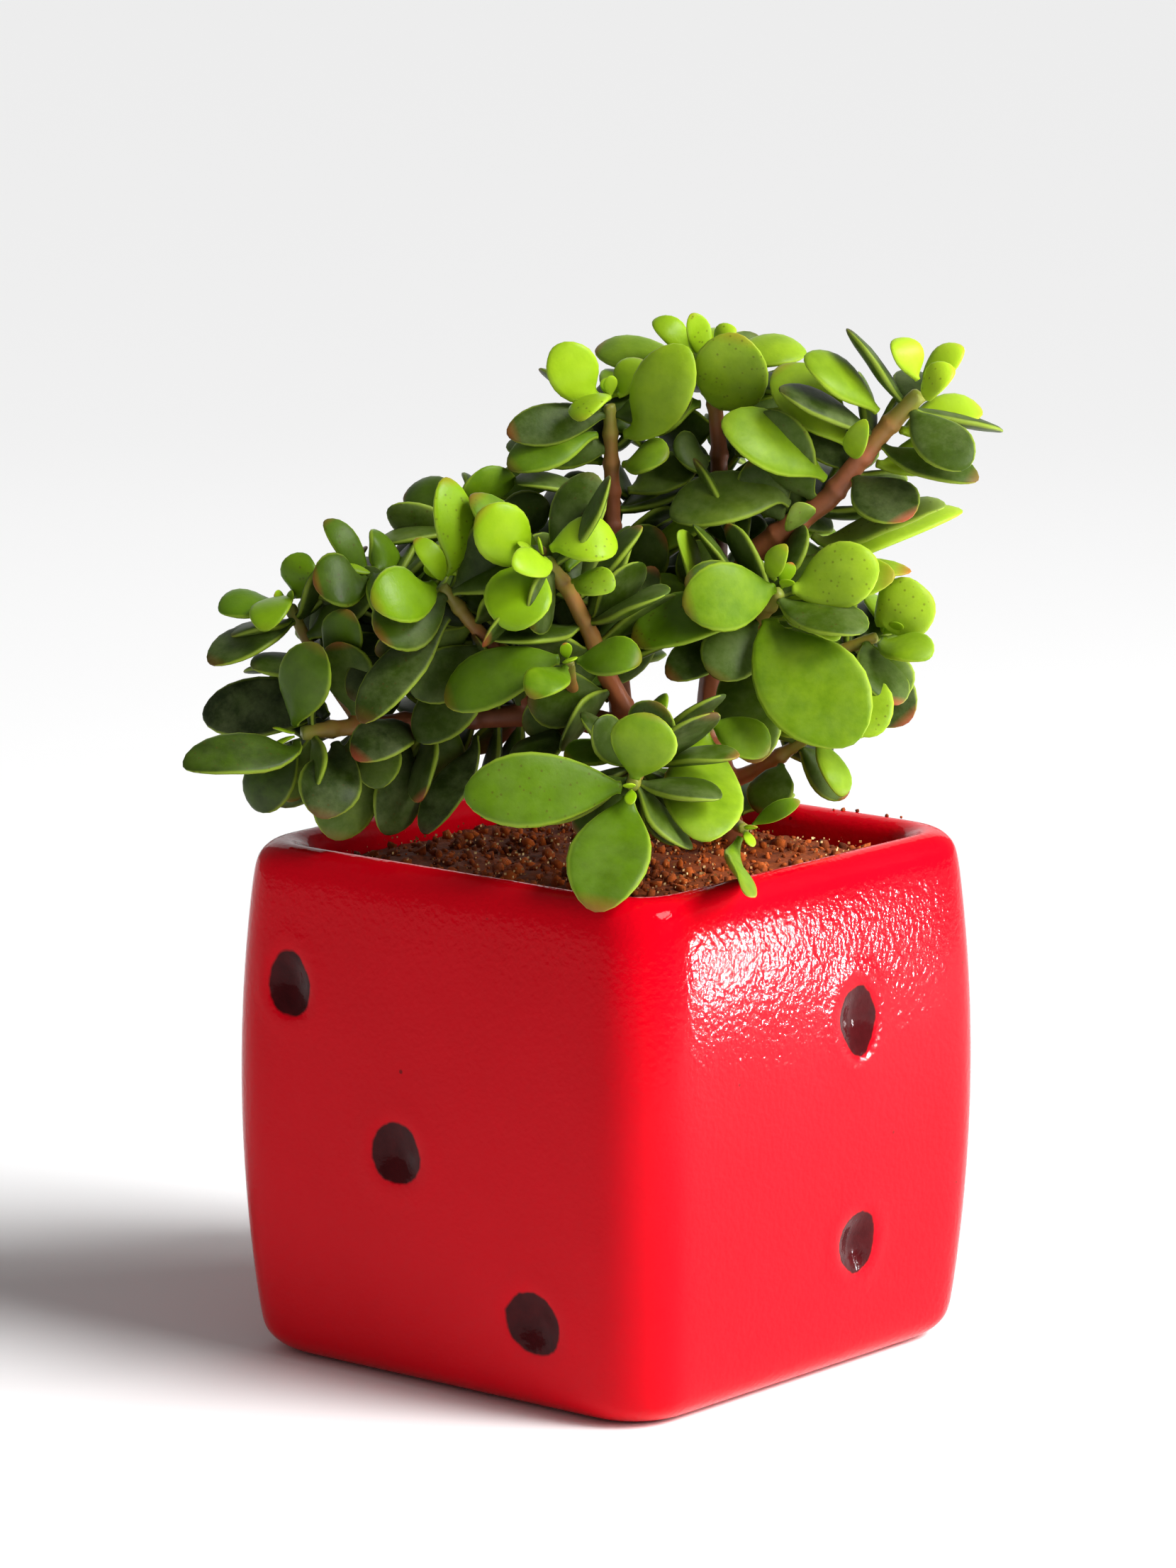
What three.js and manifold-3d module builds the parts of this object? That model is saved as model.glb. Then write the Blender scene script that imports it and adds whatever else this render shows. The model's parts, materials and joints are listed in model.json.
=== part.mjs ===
// A potted jade plant: a glazed pot shaped like a rounded die, the coco peat in it, one branching
// stem and its leaves. Millimetres, +Z up. The pot stands on z = 0 with its axis on the Z axis and
// its faces square to X and Y. Each group of leaves that grows from one node of the stem is a mesh
// of its own: the leaves of a node join in a thin collar round the stem.
import * as THREE from 'three';
import { mergeVertices } from 'three/addons/utils/BufferGeometryUtils.js';
import Module from 'manifold-3d';

const wasm = await Module();
wasm.setup();

// ---------------------------------------------------------------- driving dimensions
const GAP = 0.3;                    // clear space kept between pieces that touch

const POT_HEIGHT = 86.5;
const BASE_HALF_WIDTH = 43.4;       // what the sides narrow to at the base
const BELLY_HALF_WIDTH = 46.4;      // the sides swell a little
const BELLY_HEIGHT = 46;
const RIM_HALF_WIDTH = 44;
const CORNER_RADIUS = 10.5;         // of the pot's upright edges
const INSIDE_CORNER_RADIUS = 12;
const BASE_ROUNDING = 5;
const RIM_ROUNDING = 3.4;
const WALL = 6.8;                   // thickness of the wall at the rim
const FLOOR = 7;                    // thickness of the pot's floor
const PIP_RADIUS = 5.6;
const PIP_DEPTH = 1.7;

const SOIL_TOP = 82;                // height of the soil along the wall
const SOIL_MOUND = 1.2;             // how much higher it is in the middle

const PLANT_TURN = 39.5;            // degrees about Z from the pot's -Y face to the plant's best side
const PLANT_TIP = 10.5;             // degrees that the plant's own upright axis leans to that side
const PLANT_HEIGHT = 108;           // height of the plant's own origin on the pot's axis

const LEAF_THICKNESS = 2.2;
const LEAF_EDGE = 0.8;              // thickness along the margin
const LEAF_CUP = 0.05;              // how far the margins curl up, as a part of the half width
const LEAF_START = 0.22;            // part of its length that a leaf runs straight out of the stem
const LEAF_TURN = 0.62;             // part of the way to its tip where it has taken its own direction
const COLLAR_WALL = 0.8;            // of the ring that joins the leaves of one node
const COLLAR_HEIGHT = 1.8;
const STEM_SIDES = 7;

// ---------------------------------------------------------------- finishes
const finish = (color, roughness) => new THREE.MeshStandardMaterial({ color, roughness, metalness: 0 });
const FINISH = {
  glaze: () => finish(0xc80a14, 0.12),
  soil: () => finish(0x55200c, 0.95),
  bark: () => finish(0x7a4a2c, 0.7),
  young: () => finish(0x9cc42e, 0.35),
  mature: () => finish(0x5f8a1f, 0.4),
  old: () => finish(0x5c7434, 0.5),
};

// ---------------------------------------------------------------- solids
const object = new THREE.Group();
const plant = new THREE.Group();
plant.position.set(0, 0, PLANT_HEIGHT);
plant.rotation.set(-THREE.MathUtils.degToRad(PLANT_TIP), 0, THREE.MathUtils.degToRad(PLANT_TURN), 'ZYX');
object.add(plant);
plant.updateMatrixWorld(true);

function closedGeometry(points, triangles) {
  const geometry = new THREE.BufferGeometry();
  const places = points.flatMap((point) => point.toArray());
  geometry.setAttribute('position', new THREE.Float32BufferAttribute(places, 3));
  geometry.setIndex(triangles);
  return geometry;
}

function toSolid(geometry) {
  const bare = geometry.clone();
  bare.deleteAttribute('normal');
  bare.deleteAttribute('uv');
  const merged = mergeVertices(bare, 1e-4);
  return new wasm.Manifold(new wasm.Mesh({
    numProp: 3,
    vertProperties: new Float32Array(merged.attributes.position.array),
    triVerts: new Uint32Array(merged.index.array),
  }));
}

function toGeometry(solid) {
  const mesh = solid.getMesh();
  const geometry = new THREE.BufferGeometry();
  geometry.setAttribute('position', new THREE.BufferAttribute(new Float32Array(mesh.vertProperties), 3));
  geometry.setIndex(new THREE.BufferAttribute(new Uint32Array(mesh.triVerts), 1));
  return geometry;
}

function addMesh(parent, name, geometry, material) {
  geometry.computeVertexNormals();
  const mesh = new THREE.Mesh(geometry, material);
  mesh.name = name;
  parent.add(mesh);
  return mesh;
}

// Joins rings of equal length into a skin. Rings run anticlockwise about the way they are stacked.
function skin(rings, triangles) {
  const count = rings[0].length;
  for (let r = 1; r < rings.length; r++) {
    const low = rings[r - 1];
    const high = rings[r];
    for (let k = 0; k < count; k++) {
      const next = (k + 1) % count;
      triangles.push(low[k], low[next], high[next], low[k], high[next], high[k]);
    }
  }
}

// ---------------------------------------------------------------- pot
const CORNER_STEPS = 4;             // facets round each upright edge
const SIDE_STEPS = 2;               // and along each flat side
const BASE_STEPS = 3;
const SIDE_RINGS = 6;
const LIP_STEPS = 6;
const PIP_STEPS = [14, 8];          // of the ball that presses a pip into the clay

// One ring of a square with rounded corners, anticlockwise seen from above.
function roundedSquare(halfWidth, cornerRadius, z) {
  const radius = Math.min(cornerRadius, halfWidth);
  const inset = halfWidth - radius;
  const ring = [];
  for (let quarter = 0; quarter < 4; quarter++) {
    const turn = new THREE.Matrix4().makeRotationZ(quarter * Math.PI / 2);
    for (let k = 0; k <= CORNER_STEPS; k++) {
      const angle = (k / CORNER_STEPS) * Math.PI / 2;
      const across = inset + radius * Math.cos(angle);
      const away = inset + radius * Math.sin(angle);
      ring.push(new THREE.Vector3(across, away, z).applyMatrix4(turn));
    }
    for (let k = 1; k < SIDE_STEPS; k++) {
      const along = inset * (1 - 2 * k / SIDE_STEPS);
      ring.push(new THREE.Vector3(along, halfWidth, z).applyMatrix4(turn));
    }
  }
  return ring;
}

// Half width of the pot's outside at a height, before its base and rim are rounded.
function swell(z) {
  const end = z < BELLY_HEIGHT ? BASE_HALF_WIDTH : RIM_HALF_WIDTH;
  const reach = z < BELLY_HEIGHT ? BELLY_HEIGHT : POT_HEIGHT - BELLY_HEIGHT;
  return BELLY_HALF_WIDTH - (BELLY_HALF_WIDTH - end) * ((z - BELLY_HEIGHT) / reach) ** 2;
}

// Half widths and heights from the base's edge up the outside, over the lip and down to the floor.
function potProfile() {
  const profile = [];
  for (let k = 0; k <= BASE_STEPS; k++) {
    const angle = (k / BASE_STEPS) * Math.PI / 2;
    const z = BASE_ROUNDING * (1 - Math.cos(angle));
    profile.push([swell(z) - BASE_ROUNDING * (1 - Math.sin(angle)), z]);
  }
  const lipStart = POT_HEIGHT - RIM_ROUNDING;
  for (let k = 1; k <= SIDE_RINGS; k++) {
    const z = BASE_ROUNDING + (lipStart - BASE_ROUNDING) * k / SIDE_RINGS;
    profile.push([swell(z), z]);
  }
  const lipCentre = RIM_HALF_WIDTH - WALL / 2;
  for (let k = 1; k < LIP_STEPS; k++) {
    const angle = (k / LIP_STEPS) * Math.PI;
    profile.push([lipCentre + (WALL / 2) * Math.cos(angle), lipStart + RIM_ROUNDING * Math.sin(angle)]);
  }
  const inside = RIM_HALF_WIDTH - WALL;
  profile.push([inside, lipStart]);
  profile.push([inside + 0.4, SOIL_TOP - 8]);
  profile.push([inside, BELLY_HEIGHT]);
  profile.push([inside - 1.5, FLOOR + 6]);
  profile.push([inside - 5, FLOOR]);
  return profile;
}

// Where the pips sit on each face: the turn of the face about Z, then [across, height] of each pip.
const PIPS = [
  { turn: 0, places: [[-30, 64.5], [-6.5, 39.5], [21.5, 15.5]] },
  { turn: 90, places: [[8.6, 59.7], [9.4, 22.3]] },
  { turn: 180, places: [[-24, 64], [24, 64], [-24, 22], [24, 22]] },
  { turn: 270, places: [[-24, 64], [24, 64], [0, 43], [-24, 22], [24, 22]] },
];

function pot() {
  const points = [];
  const triangles = [];
  const rings = potProfile().map(([halfWidth, z]) => {
    const start = points.length;
    const outside = z <= BASE_ROUNDING || halfWidth > RIM_HALF_WIDTH - WALL;
    points.push(...roundedSquare(halfWidth, outside ? CORNER_RADIUS : INSIDE_CORNER_RADIUS, z));
    return Array.from({ length: points.length - start }, (_, k) => start + k);
  });
  skin(rings, triangles);
  const under = points.push(new THREE.Vector3(0, 0, 0)) - 1;
  const floor = points.push(new THREE.Vector3(0, 0, FLOOR)) - 1;
  const count = rings[0].length;
  const top = rings[rings.length - 1];
  for (let k = 0; k < count; k++) {
    const next = (k + 1) % count;
    triangles.push(under, rings[0][next], rings[0][k]);
    triangles.push(floor, top[k], top[next]);
  }
  let solid = toSolid(closedGeometry(points, triangles));
  const ball = (PIP_RADIUS ** 2 + PIP_DEPTH ** 2) / (2 * PIP_DEPTH);
  for (const { turn, places } of PIPS) {
    for (const [across, z] of places) {
      const sphere = new THREE.SphereGeometry(ball, ...PIP_STEPS);
      sphere.translate(across, -(swell(z) + ball - PIP_DEPTH), z);
      sphere.rotateZ(THREE.MathUtils.degToRad(turn));
      solid = solid.subtract(toSolid(sphere));
    }
  }
  return toGeometry(solid);
}

// ---------------------------------------------------------------- stem
// Limbs in the plant's own frame: [across, away from its best side, up]. The radius is that of its
// two ends, and a limb that grows from another starts inside it.
const LIMB_STEP = 8;                // length of a limb's facets
const LIMBS = {
  trunk: { radius: [3.4, 2.7], path: [[20, 21, -37], [20, 19, -25], [19, 14, -14], [17, 8, -4]] },
  right: {
    radius: [2.6, 1.5],
    path: [[17, 8, -4], [18, 4, 8], [21, 0, 20], [25, -3, 26.5], [31.5, -5, 30.6],
      [38.5, -7, 36], [42, -9, 41.5], [47.5, -11, 47.5], [51, -13, 51]],
  },
  rear: {
    radius: [2.2, 1.1],
    path: [[18, 5, 5], [18, 10, 18], [18.5, 11, 32], [18.5, 8, 43], [17.5, 5, 52], [16, 3, 58]],
  },
  left: {
    radius: [2.6, 1.3],
    path: [[17, 8, -4], [10, 3, -5], [3.5, -2, -4], [-8, -6, -1.5], [-22, -8, -2],
      [-37, -10, -3], [-50, -14, -4.5]],
  },
  middle: {
    radius: [2.1, 1.1],
    path: [[2.5, -2, -4], [1.5, 2, 8], [0.8, 5, 22], [0.7, 4, 36], [0.3, 1, 50]],
  },
  red: {
    radius: [1.9, 1.2],
    path: [[3.5, -2, -4], [2.5, -10, 0], [-0.2, -14, 5], [-3, -18, 12], [-7.2, -22, 20],
      [-10, -25, 23.6]],
  },
  olive: {
    radius: [1.6, 1],
    path: [[-12, -6, -1.5], [-16, -12, 6], [-21, -16, 12], [-25, -18, 16.5], [-27, -19, 19.5]],
  },
  shade: { radius: [1.7, 1], path: [[-13, -6, -1.5], [-17, 2, 11], [-20, 5, 24], [-21, 4, 33]] },
  crown: { radius: [1.5, 1], path: [[-26, -9, -2], [-31, -7, 8], [-36, -8, 17], [-38, -9, 20.5]] },
  outer: {
    radius: [1.4, 0.9],
    path: [[-40, -11, -3.2], [-46, -6, 5], [-51, -4, 13], [-52.5, -4, 16.5]],
  },
  facing: {
    radius: [1.9, 1.2],
    path: [[18, 4, 8], [22, -6, 12], [26, -14, 15.5], [28, -18, 18.5]],
  },
  side: { radius: [1.6, 1], path: [[18, 5, 4], [28, 3, 6], [38, 1, 9], [44.5, -1, 11.5]] },
  low: { radius: [1.6, 1], path: [[19, 13, -13], [24, 12, -11], [29, 9, -8], [33.5, 7, -5]] },
  front: {
    radius: [1.9, 1.2],
    path: [[6, -1, -4.5], [6.5, -14, -6], [5, -28, -10], [4, -39, -13]],
  },
  centre: { radius: [1.7, 1.1], path: [[17, 8, -4], [16.5, -4, -4], [15.7, -18, -2.5]] },
  bud: { radius: [1.4, 1], path: [[-4, -5, -2.4], [-6, -17, 3], [-6.3, -26, 6.9]] },
  trailing: {
    radius: [1.5, 1],
    path: [[19, 14, -14], [20, -4, -18], [21, -18, -19.5], [22, -26, -20]],
  },
};

const UP = new THREE.Vector3(0, 0, 1);
const vector = ([x, y, z]) => new THREE.Vector3(x, y, z);
for (const limb of Object.values(LIMBS)) limb.curve = new THREE.CatmullRomCurve3(limb.path.map(vector));

const limbRadius = (limb, t) => THREE.MathUtils.lerp(limb.radius[0], limb.radius[1], t);

// A tube with closed ends that narrows along its curve.
function limbTube(limb, extra = 0) {
  const steps = Math.max(3, Math.round(limb.curve.getLength() / LIMB_STEP));
  const frames = limb.curve.computeFrenetFrames(steps, false);
  const points = [];
  const triangles = [];
  const rings = [];
  for (let k = 0; k <= steps; k++) {
    const t = k / steps;
    const centre = limb.curve.getPointAt(t);
    const radius = limbRadius(limb, t) + extra;
    rings.push(Array.from({ length: STEM_SIDES }, (_, s) => {
      const angle = 2 * Math.PI * s / STEM_SIDES;
      const offset = frames.normals[k].clone().multiplyScalar(radius * Math.cos(angle))
        .addScaledVector(frames.binormals[k], radius * Math.sin(angle));
      return points.push(centre.clone().add(offset)) - 1;
    }));
  }
  skin(rings, triangles);
  for (const [ring, forward] of [[rings[0], false], [rings[steps], true]]) {
    const centre = points.push(limb.curve.getPointAt(forward ? 1 : 0)) - 1;
    ring.forEach((point, k) => {
      const next = ring[(k + 1) % STEM_SIDES];
      triangles.push(...(forward ? [centre, point, next] : [centre, next, point]));
    });
  }
  return closedGeometry(points, triangles);
}

function stem() {
  const tubes = Object.values(LIMBS).map((limb) => toSolid(limbTube(limb)));
  return toGeometry(tubes.reduce((whole, tube) => whole.add(tube)));
}

// ---------------------------------------------------------------- soil
const TRUNK_END = 1.3;              // clear depth left under the trunk's cut end

// The peat fills the pot up to its top, with a hole where the trunk goes down into it.
function soil() {
  const points = [];
  const triangles = [];
  const inside = RIM_HALF_WIDTH - WALL - GAP;
  const rows = [
    [inside - 5.6, FLOOR + GAP],
    [inside - 2.2, FLOOR + 7],
    [inside - 0.8, BELLY_HEIGHT],
    [inside - 0.2, SOIL_TOP],
    [inside - 8, SOIL_TOP + 0.4 * SOIL_MOUND],
    [inside - 20, SOIL_TOP + 0.8 * SOIL_MOUND],
  ];
  const rings = rows.map(([halfWidth, z]) => {
    const start = points.length;
    points.push(...roundedSquare(halfWidth, INSIDE_CORNER_RADIUS - 0.5, z));
    return Array.from({ length: points.length - start }, (_, k) => start + k);
  });
  skin(rings, triangles);
  const bottom = points.push(new THREE.Vector3(0, 0, FLOOR + GAP)) - 1;
  const top = points.push(new THREE.Vector3(0, 0, SOIL_TOP + SOIL_MOUND)) - 1;
  const last = rings[rings.length - 1];
  last.forEach((point, k) => {
    const next = (k + 1) % last.length;
    triangles.push(bottom, rings[0][next], rings[0][k], top, point, last[next]);
  });
  const { radius, path } = LIMBS.trunk;
  const foot = vector(path[0]);
  const below = {
    radius: [radius[0], radius[0]],
    curve: new THREE.LineCurve3(foot.clone().addScaledVector(UP, -TRUNK_END), foot.clone().add(UP)),
  };
  let solid = toSolid(closedGeometry(points, triangles));
  for (const rooted of [LIMBS.trunk, below]) {
    solid = solid.subtract(toSolid(limbTube(rooted, GAP).applyMatrix4(plant.matrixWorld)));
  }
  return toGeometry(solid);
}

// ---------------------------------------------------------------- leaves
// A leaf is [across, depth, up] of its tip in the plant's frame, its width, and how many degrees its
// upper face is turned up from facing the plant's best side.
// A node is the limb it grows from, how far along the limb it sits (1 is the tip), the age of its
// leaves and the leaves themselves.
const NODES = {
  middle_tip: ['middle', 1, 'young',
    [-9, -4, 59, 9, 10], [5.5, 3, 57.5, 6, 40], [-5.5, -9, 46, 7, 55], [4, 12, 55, 8, 30]],
  middle_6: ['middle', 0.91, 'mature',
    [-16.5, -4, 39, 9, 40], [13.5, -5, 59.5, 11, 15], [3, 19, 47, 11, 50]],
  middle_5: ['middle', 0.82, 'mature', [10, -4, 41, 8, 45], [-9, 14, 44, 9, 40]],
  middle_4: ['middle', 0.735, 'old',
    [-14.5, -5, 36.5, 8, 70], [14.5, 5, 40, 9, 40], [2, 20, 36, 10, 60]],
  middle_3: ['middle', 0.63, 'old', [-7, -4, 33, 8, 30], [-6.5, 10, 39, 7, 20]],
  middle_2: ['middle', 0.54, 'mature',
    [21, -5, 33, 9, 62], [-13, 6, 29, 9, 50], [2, 21, 27, 10, 60]],
  middle_1: ['middle', 0.36, 'old', [14, 1, 22, 10, 50], [-12, 8, 20, 10, 50], [4, 21, 19, 10, 60]],
  middle_0: ['middle', 0.24, 'mature',
    [12, -2, 21.5, 10, 10], [-16, 0, 12, 9, 40], [6, 20, 9, 10, 60]],
  rear_tip: ['rear', 1, 'young',
    [14, -3, 65.5, 4.5, 20], [21, 0, 62.5, 4.5, 34], [7.5, 3.5, 64, 5, 26], [18, 10, 62.5, 6, 44]],
  rear_5: ['rear', 0.96, 'mature', [-2, 13, 60, 9, 45], [33, 6, 59, 9, 50]],
  rear_4: ['rear', 0.85, 'mature',
    [21, -9, 60.5, 12.8, 5], [7, 11, 46, 9, 40], [29, 4, 52, 8, 55], [17, 22, 52, 11, 40]],
  rear_3: ['rear', 0.69, 'old', [10.5, 1, 42, 8, 30], [31, 10, 44, 9, 40], [18, 27, 44, 11, 50]],
  rear_2: ['rear', 0.53, 'old', [8, 19, 37, 10, 45], [30, 17, 38, 10, 45], [19, 28, 32, 10, 55]],
  rear_1: ['rear', 0.36, 'old', [9, 18, 24, 10, 50], [26, 25, 21, 10, 50]],
  right_tip: ['right', 1, 'young',
    [58, -11, 59, 6, 36], [47, -11.5, 60, 6, 32], [56.5, -19.5, 54.5, 6, 40]],
  right_7: ['right', 0.9, 'mature', [32, -14, 57, 10, 52], [61.5, -4, 49, 9, 45]],
  right_6: ['right', 0.8, 'mature',
    [28, -3, 56, 11, 25], [59.5, -5, 42, 9, 40], [42, -20, 46.5, 4, 20]],
  right_5: ['right', 0.7, 'mature', [18.5, -14, 46.5, 12, 38]],
  right_4: ['right', 0.59, 'old',
    [12, -11, 40.5, 12, 42], [55.5, -9, 33, 9, 62], [30.5, -17, 33, 6, 20]],
  right_3: ['right', 0.52, 'mature',
    [59, 8, 32.5, 8, 55], [20.5, -12, 35, 8, 65], [37, 15, 31, 10, 50]],
  right_2: ['right', 0.385, 'mature', [47, -15, 21, 10, 30], [50, -5, 22, 7, 60]],
  right_1: ['right', 0.31, 'mature',
    [13, -17, 29, 7, 55], [22, -10, 26, 6, 20], [36, 8, 25, 9, 50]],
  facing_tip: ['facing', 1, 'mature',
    [44, -21.5, 23, 11, 9], [12, -27, 16, 11.5, 3], [29, -24, 26, 4, 29.5]],
  facing_2: ['facing', 0.84, 'mature',
    [39.5, -30, -6, 17.5, 7], [38, -22, 9.5, 7, 58], [4, -21, 10, 12, 43]],
  facing_1: ['facing', 0.42, 'old', [24, -18, -9.5, 11, 5], [37, -12, 7, 9, 40]],
  side_tip: ['side', 1, 'mature',
    [54.5, -3.5, 16.5, 10.5, 3], [54, -10, 8, 8, 42], [45, 11, 17, 9, 38]],
  side_1: ['side', 0.7, 'mature', [44, -14, -5, 12, 10], [36, 16, 12, 10, 50]],
  low_tip: ['low', 1, 'mature', [38.5, 0, -15, 7, 50], [27.5, 3, -4, 6, 40], [42, 14, -4, 8, 50]],
  low_1: ['low', 0.66, 'old', [25.5, 3, -18, 8, 20], [31, 22, -7, 10, 50]],
  front_tip: ['front', 1, 'mature',
    [7, -44, -1.5, 11, 5], [-23, -43, -14.5, 12.3, 8], [-2, -53, -33, 13.2, 10]],
  front_1: ['front', 0.5, 'mature', [-7, -24, -9, 8, 55], [14, -10, -18, 9, 40]],
  centre_tip: ['centre', 1, 'mature', [15, -41, -22, 13.5, 8], [26, -22, -8, 8, 30]],
  bud_tip: ['bud', 1, 'mature',
    [-26.5, -25, 0.5, 11, 30], [5.5, -32, 7, 8, 35], [-12.5, -36, 1, 7, 26]],
  trailing_tip: ['trailing', 1, 'mature', [21.5, -58, -30, 7, 55], [31, -30.5, -15.5, 3, 10]],
  red_tip: ['red', 1, 'young',
    [-21, -29, 31, 10, 10], [-16, -33, 12, 11, 10], [1.5, -24, 25.5, 9, 30], [-16, -37, 21, 6, 20]],
  red_2: ['red', 0.87, 'mature',
    [-22.5, -20, 34, 9, 45], [0.5, -31, 19, 6, 30], [-7, -12, 30, 7, 30]],
  red_1: ['red', 0.22, 'mature', [12, -20, -6, 9, 35], [-9, -8, 9, 8, 50]],
  olive_tip: ['olive', 1, 'young',
    [-26, -21, 37, 8, 37], [-38, -31, 16, 10, 8.5], [-31.5, -22, 27, 4, 21], [-16, -13, 23, 8, 47.5]],
  olive_2: ['olive', 0.84, 'old', [-40, -27, -3, 9, 35], [-17, -9, 14, 8, 40]],
  olive_1: ['olive', 0.45, 'old', [-31, -18, -6, 10, 25], [-7, 0, 12, 9, 40]],
  shade_tip: ['shade', 1, 'mature',
    [-20, -4, 39.5, 10, 30], [-34, 9, 35, 8, 40], [-10, 12, 38, 8, 40], [-22, 18, 36, 9, 40]],
  shade_2: ['shade', 0.7, 'old', [-35, 10, 27, 10, 45], [-6, 11, 27, 9, 45], [-20, 22, 22, 10, 50]],
  shade_1: ['shade', 0.38, 'old', [-27, 14, 13, 10, 50], [-7, 12, 14, 9, 50]],
  crown_tip: ['crown', 1, 'mature',
    [-48.5, -14, 19.5, 10, 21], [-37.5, -2, 28, 8, 47], [-46.5, -7.5, 30.5, 5, 27], [-32.5, -17.5, 12.5, 8, 20]],
  crown_1: ['crown', 0.45, 'old', [-42, -17, 1, 9, 20], [-22, 4, 7, 9, 45], [-34, 12, 10, 10, 50]],
  outer_tip: ['outer', 1, 'young',
    [-64, -7, 15.5, 8, 52], [-49.5, -7, 25, 7, 25], [-56, -16, 12, 7, 30]],
  outer_1: ['outer', 0.45, 'mature',
    [-42, -16, 15, 8, 20], [-58, 4, 8, 8, 50], [-52, 11, 10, 10, 50]],
  left_tip: ['left', 1, 'mature',
    [-47, -22, 10, 10, 25], [-69, -22, -10, 9, 40], [-58, -9, -17, 9, 20]],
  left_4: ['left', 0.93, 'old',
    [-67, -9, -1, 10.5, 15], [-46.5, -22, -18.5, 10.5, 5], [-55, 6, 0, 9, 50]],
  left_3: ['left', 0.76, 'old',
    [-35.5, -13, -21.5, 9, 30], [-36, 8, -8, 10, 50], [-41, -22, -9, 9, 30]],
  left_2: ['left', 0.6, 'old', [-31, -14, -21, 7, 30], [-26, 10, -8, 10, 50]],
  left_1: ['left', 0.44, 'old', [-13, -19, -11, 9, 30], [-9, 11, -7, 10, 50]],
  trunk_1: ['trunk', 0.5, 'old', [8, 26, -13, 11, 50], [29, 30, -14, 11, 50]],
};

const OUTLINE = [[0.15, 0.36], [0.4, 0.84], [0.72, 0.95], [0.93, 0.58]];  // [along, part of width]
const BEST_SIDE = new THREE.Vector3(0, -1, 0);
const LEAST_SIDEWAYS = 0.05;        // a leaf that points nearly at the best side turns up instead

// Part of the full width at a place along the leaf.
function outlineAt(s) {
  const stops = [[0, 0.2], ...OUTLINE, [1, 0.1]];
  const k = Math.max(1, stops.findIndex(([at]) => at >= Math.min(s, 1)));
  const [from, low] = stops[k - 1];
  const [to, high] = stops[k];
  return THREE.MathUtils.lerp(low, high, (Math.max(s, 0) - from) / (to - from));
}

// Sets the leaf's own directions: along it, across it, and out of its upper face.
function orient(leaf) {
  leaf.along = leaf.tip.clone().sub(leaf.base);
  leaf.length = leaf.along.length();
  leaf.along.normalize();
  const side = new THREE.Vector3().crossVectors(leaf.along, BEST_SIDE);
  const facing = side.lengthSq() > LEAST_SIDEWAYS ? side.clone().cross(leaf.along) : UP.clone();
  facing.addScaledVector(leaf.along, -facing.dot(leaf.along)).normalize();
  const other = new THREE.Vector3().crossVectors(leaf.along, facing);
  const lift = Math.abs(other.z) > 0.2 ? Math.sign(other.z) : Math.sign(other.x) || 1;
  const turn = THREE.MathUtils.degToRad(leaf.turn);
  leaf.face = facing.multiplyScalar(Math.cos(turn));
  leaf.face.addScaledVector(other, lift * Math.sin(turn)).normalize();
  leaf.across = new THREE.Vector3().crossVectors(leaf.face, leaf.along);
}

function growLeaves() {
  return Object.entries(NODES).flatMap(([name, [limbName, at, , ...rows]]) => {
    const limb = LIMBS[limbName];
    const end = at === 1;
    const axis = limb.curve.getTangentAt(at);
    const centre = limb.curve.getPointAt(at);
    if (end) centre.addScaledVector(axis, GAP + COLLAR_HEIGHT / 2);
    return rows.map(([x, y, z, width, turn], k) => {
      const leaf = { node: name, limb, centre, axis, width, turn, bow: 1 + (k % 3) * 0.5 };
      leaf.tip = new THREE.Vector3(x, y, z);
      const out = leaf.tip.clone().sub(centre);
      out.addScaledVector(axis, -out.dot(axis)).normalize();
      leaf.base = centre.clone().addScaledVector(out, limbRadius(limb, at) + COLLAR_WALL);
      orient(leaf);
      return leaf;
    });
  });
}

// How far a leaf's middle bows out of the straight line from its base to its tip.
const bowAt = (leaf, s) => leaf.bow * 4 * s * (1 - Math.min(1, s));

// The place on a leaf's middle surface: s runs along it and t from edge to edge.
function onLeaf(leaf, s, t) {
  return leaf.base.clone().addScaledVector(leaf.along, s * leaf.length)
    .addScaledVector(leaf.across, t * outlineAt(s) * leaf.width / 2)
    .addScaledVector(leaf.face, bowAt(leaf, s));
}

const halfThickness = (t) => THREE.MathUtils.lerp(LEAF_THICKNESS, LEAF_EDGE, Math.min(1, Math.abs(t))) / 2;
const LEAF_PLACES = [0.3, 0.5, 0.7, 0.88, 1].flatMap((s) => [-0.9, -0.4, 0, 0.4, 0.9].map((t) => [s, t]));
const YIELD = new THREE.Vector3(0.45, 1, 0.45);   // a leaf gives way in depth more than sideways
const CLEARANCE = 0.7;
const SETTLING_ROUNDS = 200;
const LEAF_PUSH = 0.12;             // part of the missing room that two leaves give each other in a round
const LEAF_PUSH_DEPTH = 1.5;
const STEM_PUSH = 0.2;
const LONGEST_MOVE = 1.2;           // of a tip in a round
const SIDE_MARGIN = 0.3;            // a leaf keeps clear of this much past another's margin
const DEEPEST_CROSSING = 8;         // a leaf this far through another is taken as being past it
const STEM_SAMPLE = 2.5;

// Points along every limb, each with the limb's radius there.
function sampleStem() {
  return Object.values(LIMBS).flatMap((limb) => {
    const steps = Math.ceil(limb.curve.getLength() / STEM_SAMPLE);
    return Array.from({ length: steps + 1 }, (_, k) => {
      const at = k / steps;
      return { limb, point: limb.curve.getPointAt(at), radius: limbRadius(limb, at) };
    });
  });
}

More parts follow.
